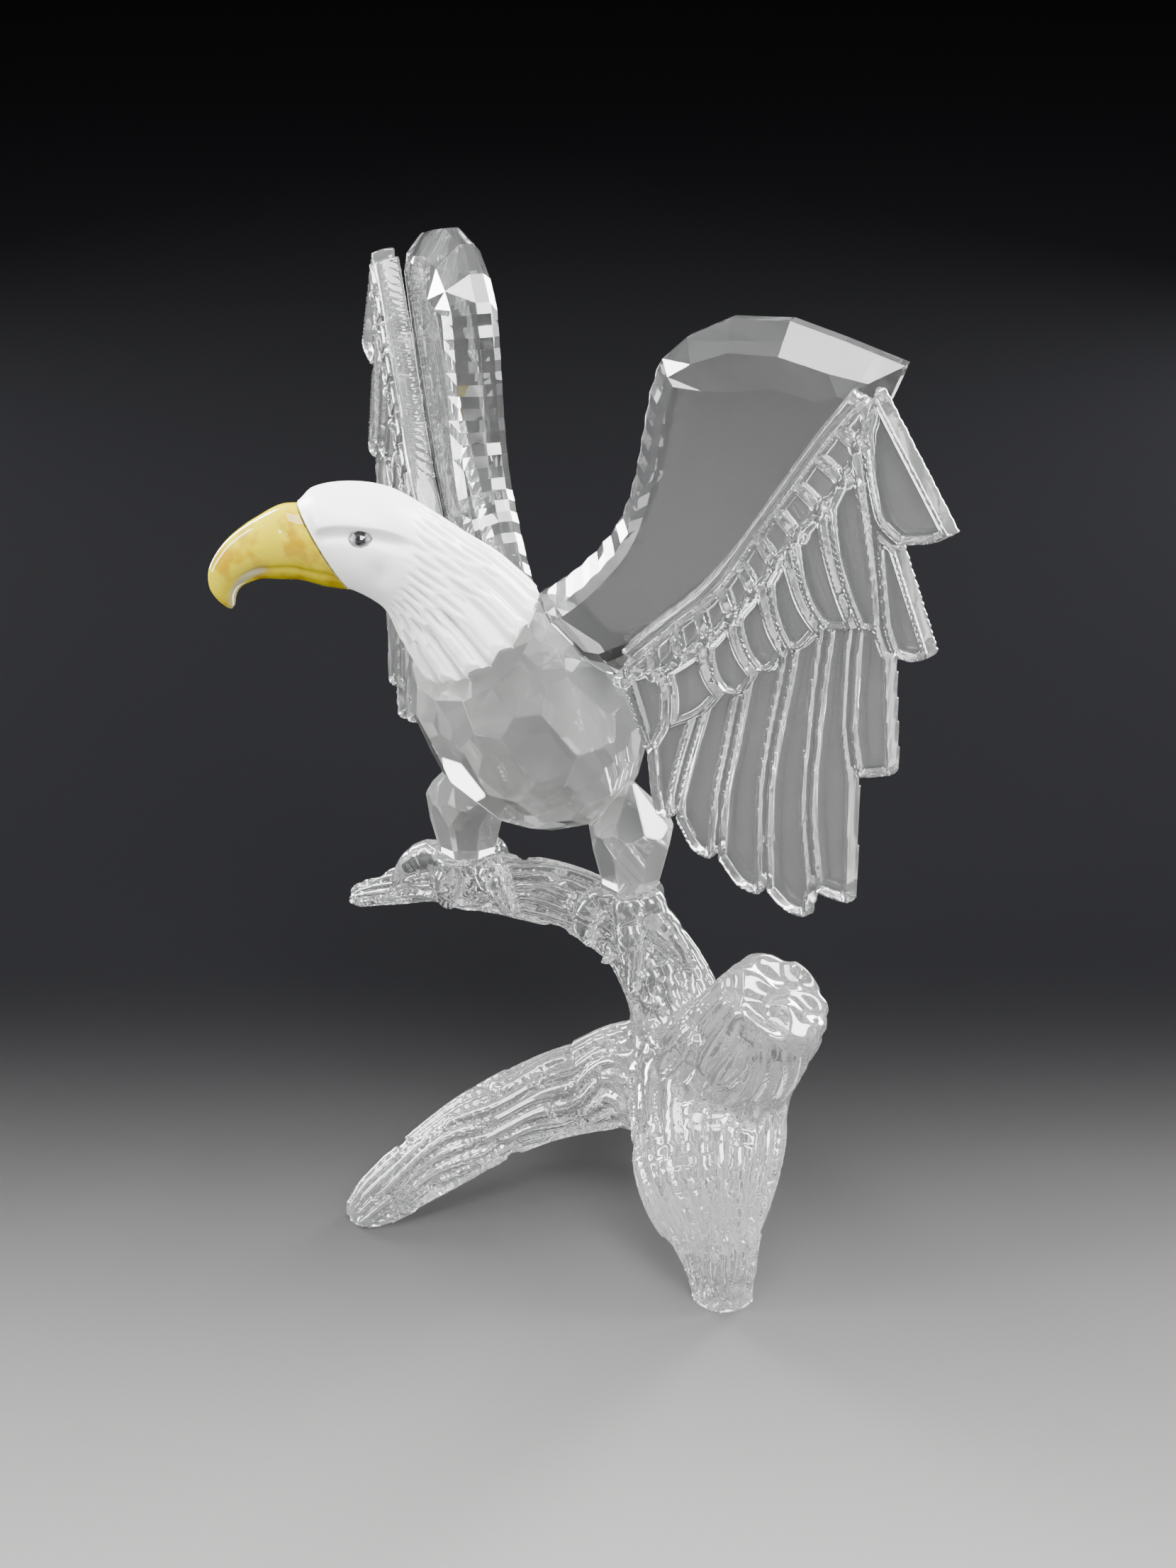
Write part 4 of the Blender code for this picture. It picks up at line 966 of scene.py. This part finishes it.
def make_floor():
    """A floor with a painted pool of light: pale before the figure, with painted shade that falls off
    into a dim studio behind it and far out. Its painted tone is the product of two smooth steps: of the
    distance from the origin, and of the distance along one fixed direction on the floor. It stays where
    it is in every view.
    """
    work = bmesh.new()
    bmesh.ops.create_circle(work, cap_ends=True, segments=96, radius=FLOOR_RADIUS)
    mesh = bpy.data.meshes.new("floor")
    work.to_mesh(mesh)
    work.free()
    floor = bpy.data.objects.new("floor", mesh)
    bpy.context.scene.collection.objects.link(floor)
    look = bpy.data.materials.new("floor_paper_painted_pool")
    look.use_nodes = True
    tree = look.node_tree
    add = node_maker(tree)
    shader = tree.nodes["Principled BSDF"]
    shader.inputs["Roughness"].default_value = 0.85
    shader.inputs["Specular IOR Level"].default_value = 0.0
    place = add("ShaderNodeTexCoord")
    away = add("ShaderNodeVectorMath", operation="LENGTH")
    tree.links.new(place.outputs["Object"], away.inputs[0])
    painted_pool = add("ShaderNodeMapRange", interpolation_type="SMOOTHSTEP", From_Min=FLOOR_PAINTED_SHADE_RADIUS,
              From_Max=FLOOR_PAINTED_POOL_RADIUS)
    tree.links.new(away.outputs["Value"], painted_pool.inputs["Value"])
    toward = add("ShaderNodeVectorMath", operation="DOT_PRODUCT")
    toward.inputs[1].default_value = (math.sin(CAMERA_AZIMUTH), -math.cos(CAMERA_AZIMUTH), 0.0)
    tree.links.new(place.outputs["Object"], toward.inputs[0])
    front = add("ShaderNodeMapRange", interpolation_type="SMOOTHERSTEP", From_Min=FLOOR_PAINTED_SHADE_BACK,
                From_Max=FLOOR_PAINTED_LIT_FRONT)
    tree.links.new(toward.outputs["Value"], front.inputs["Value"])
    share = add("ShaderNodeMath", operation="MULTIPLY")
    tree.links.new(painted_pool.outputs["Result"], share.inputs[0])
    tree.links.new(front.outputs["Result"], share.inputs[1])
    # Painted pool of light: the floor's pale tone inside it, and near-black painted shade far out and
    # behind the figure
    tone = add("ShaderNodeMix", data_type="RGBA")
    tone.inputs[6].default_value = (*FLOOR_PAINTED_SHADE_TONE, 1.0)
    tone.inputs[7].default_value = (*FLOOR_PALE_TONE, 1.0)
    tree.links.new(share.outputs[0], tone.inputs["Factor"])
    tree.links.new(tone.outputs[2], shader.inputs["Base Color"])
    mesh.materials.append(look)


def soft_light(name, place, size, power):
    """A rectangular soft light at a place, turned to face the figure."""
    data = bpy.data.lights.new(name, "AREA")
    data.shape = "RECTANGLE"
    data.size, data.size_y = size
    data.energy = power
    item = bpy.data.objects.new(name, data)
    bpy.context.scene.collection.objects.link(item)
    item.location = place
    item.rotation_mode = "QUATERNION"
    item.rotation_quaternion = (Vector(LIGHT_AIM) - Vector(place)).to_track_quat("-Z", "Y")


def make_light():
    """A soft box overhead, tall strips that draw bright edges, and a dome of panels and gaps.

    The dome's strength is the product of two smooth steps: of the height, and of the place within a
    panel and its gap, which is the fraction of the turn round the studio times the panels.
    """
    for name, (place, size, power) in LIGHTS.items():
        soft_light(name, place, size, power)
    world = bpy.data.worlds.new("studio")
    world.use_nodes = True
    tree = world.node_tree
    add = node_maker(tree)
    place = add("ShaderNodeTexCoord")
    split = add("ShaderNodeSeparateXYZ")
    tree.links.new(place.outputs["Generated"], split.inputs["Vector"])
    dome = add("ShaderNodeMapRange", interpolation_type="SMOOTHSTEP", From_Min=DOME_LOW,
               From_Max=DOME_HIGH, To_Min=0.0, To_Max=DOME_POWER)
    tree.links.new(split.outputs["Z"], dome.inputs["Value"])
    round_it = add("ShaderNodeTexGradient", gradient_type="RADIAL")
    tree.links.new(place.outputs["Generated"], round_it.inputs["Vector"])
    count = add("ShaderNodeMath", operation="MULTIPLY")
    count.inputs[1].default_value = PANELS
    tree.links.new(round_it.outputs["Fac"], count.inputs[0])
    part = add("ShaderNodeMath", operation="FRACT")
    tree.links.new(count.outputs[0], part.inputs[0])
    panel = add("ShaderNodeMapRange", interpolation_type="SMOOTHSTEP", From_Min=PANEL_START,
                From_Max=PANEL_FULL, To_Min=PANEL_GAP)
    tree.links.new(part.outputs[0], panel.inputs["Value"])
    strength = add("ShaderNodeMath", operation="MULTIPLY")
    tree.links.new(dome.outputs["Result"], strength.inputs[0])
    tree.links.new(panel.outputs["Result"], strength.inputs[1])
    tree.links.new(strength.outputs[0], tree.nodes["Background"].inputs["Strength"])
    tree.nodes["Background"].inputs["Color"].default_value = (1.0, 1.0, 1.0, 1.0)
    bpy.context.scene.world = world


# Making the pieces

make_camera()
make_floor()
make_light()
clear = crystal("clear_crystal", (0.97, 0.985, 0.98), 0.0, transmission=0.98)
# The faceted stone gets painted facet shading toward its facet shade tone
faceted = crystal("faceted_crystal", (1.0, 1.0, 0.985), 0.0, ior=1.62, transmission=0.84, gloss=1.0,
                  facet_shade_tone=(0.47, 0.49, 0.48))
pressed = crystal("pressed_crystal", (0.97, 0.985, 0.98), 0.01, bump=0.15, transmission=0.96)
cast = crystal("cast_crystal", (0.97, 0.985, 0.98), 0.0, smudge=0.006, ior=1.72, transmission=0.95,
               gloss=1.0)
frosted = crystal("frosted_crystal", (0.975, 0.98, 0.975), 0.36, bump=0.15, bump_size=3000.0,
                  transmission=0.25)
yellow = beak_finish()
for node in ("body", "thigh_left", "thigh_right"):
    cut_stone(node, faceted, STONE_EASE)
make_plates(clear)
make_sheets(pressed)
make_branch(cast)
make_head(frosted)
make_beak(yellow)
make_tail(pressed)
for side in ("left", "right"):
    eye_low, eye_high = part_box("eye_" + side)
    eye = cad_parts["eye_" + side]
    eye.data.materials.clear()
    eye.data.materials.append(eye_finish("eye_bead_" + side, (eye_low + eye_high) / 2))
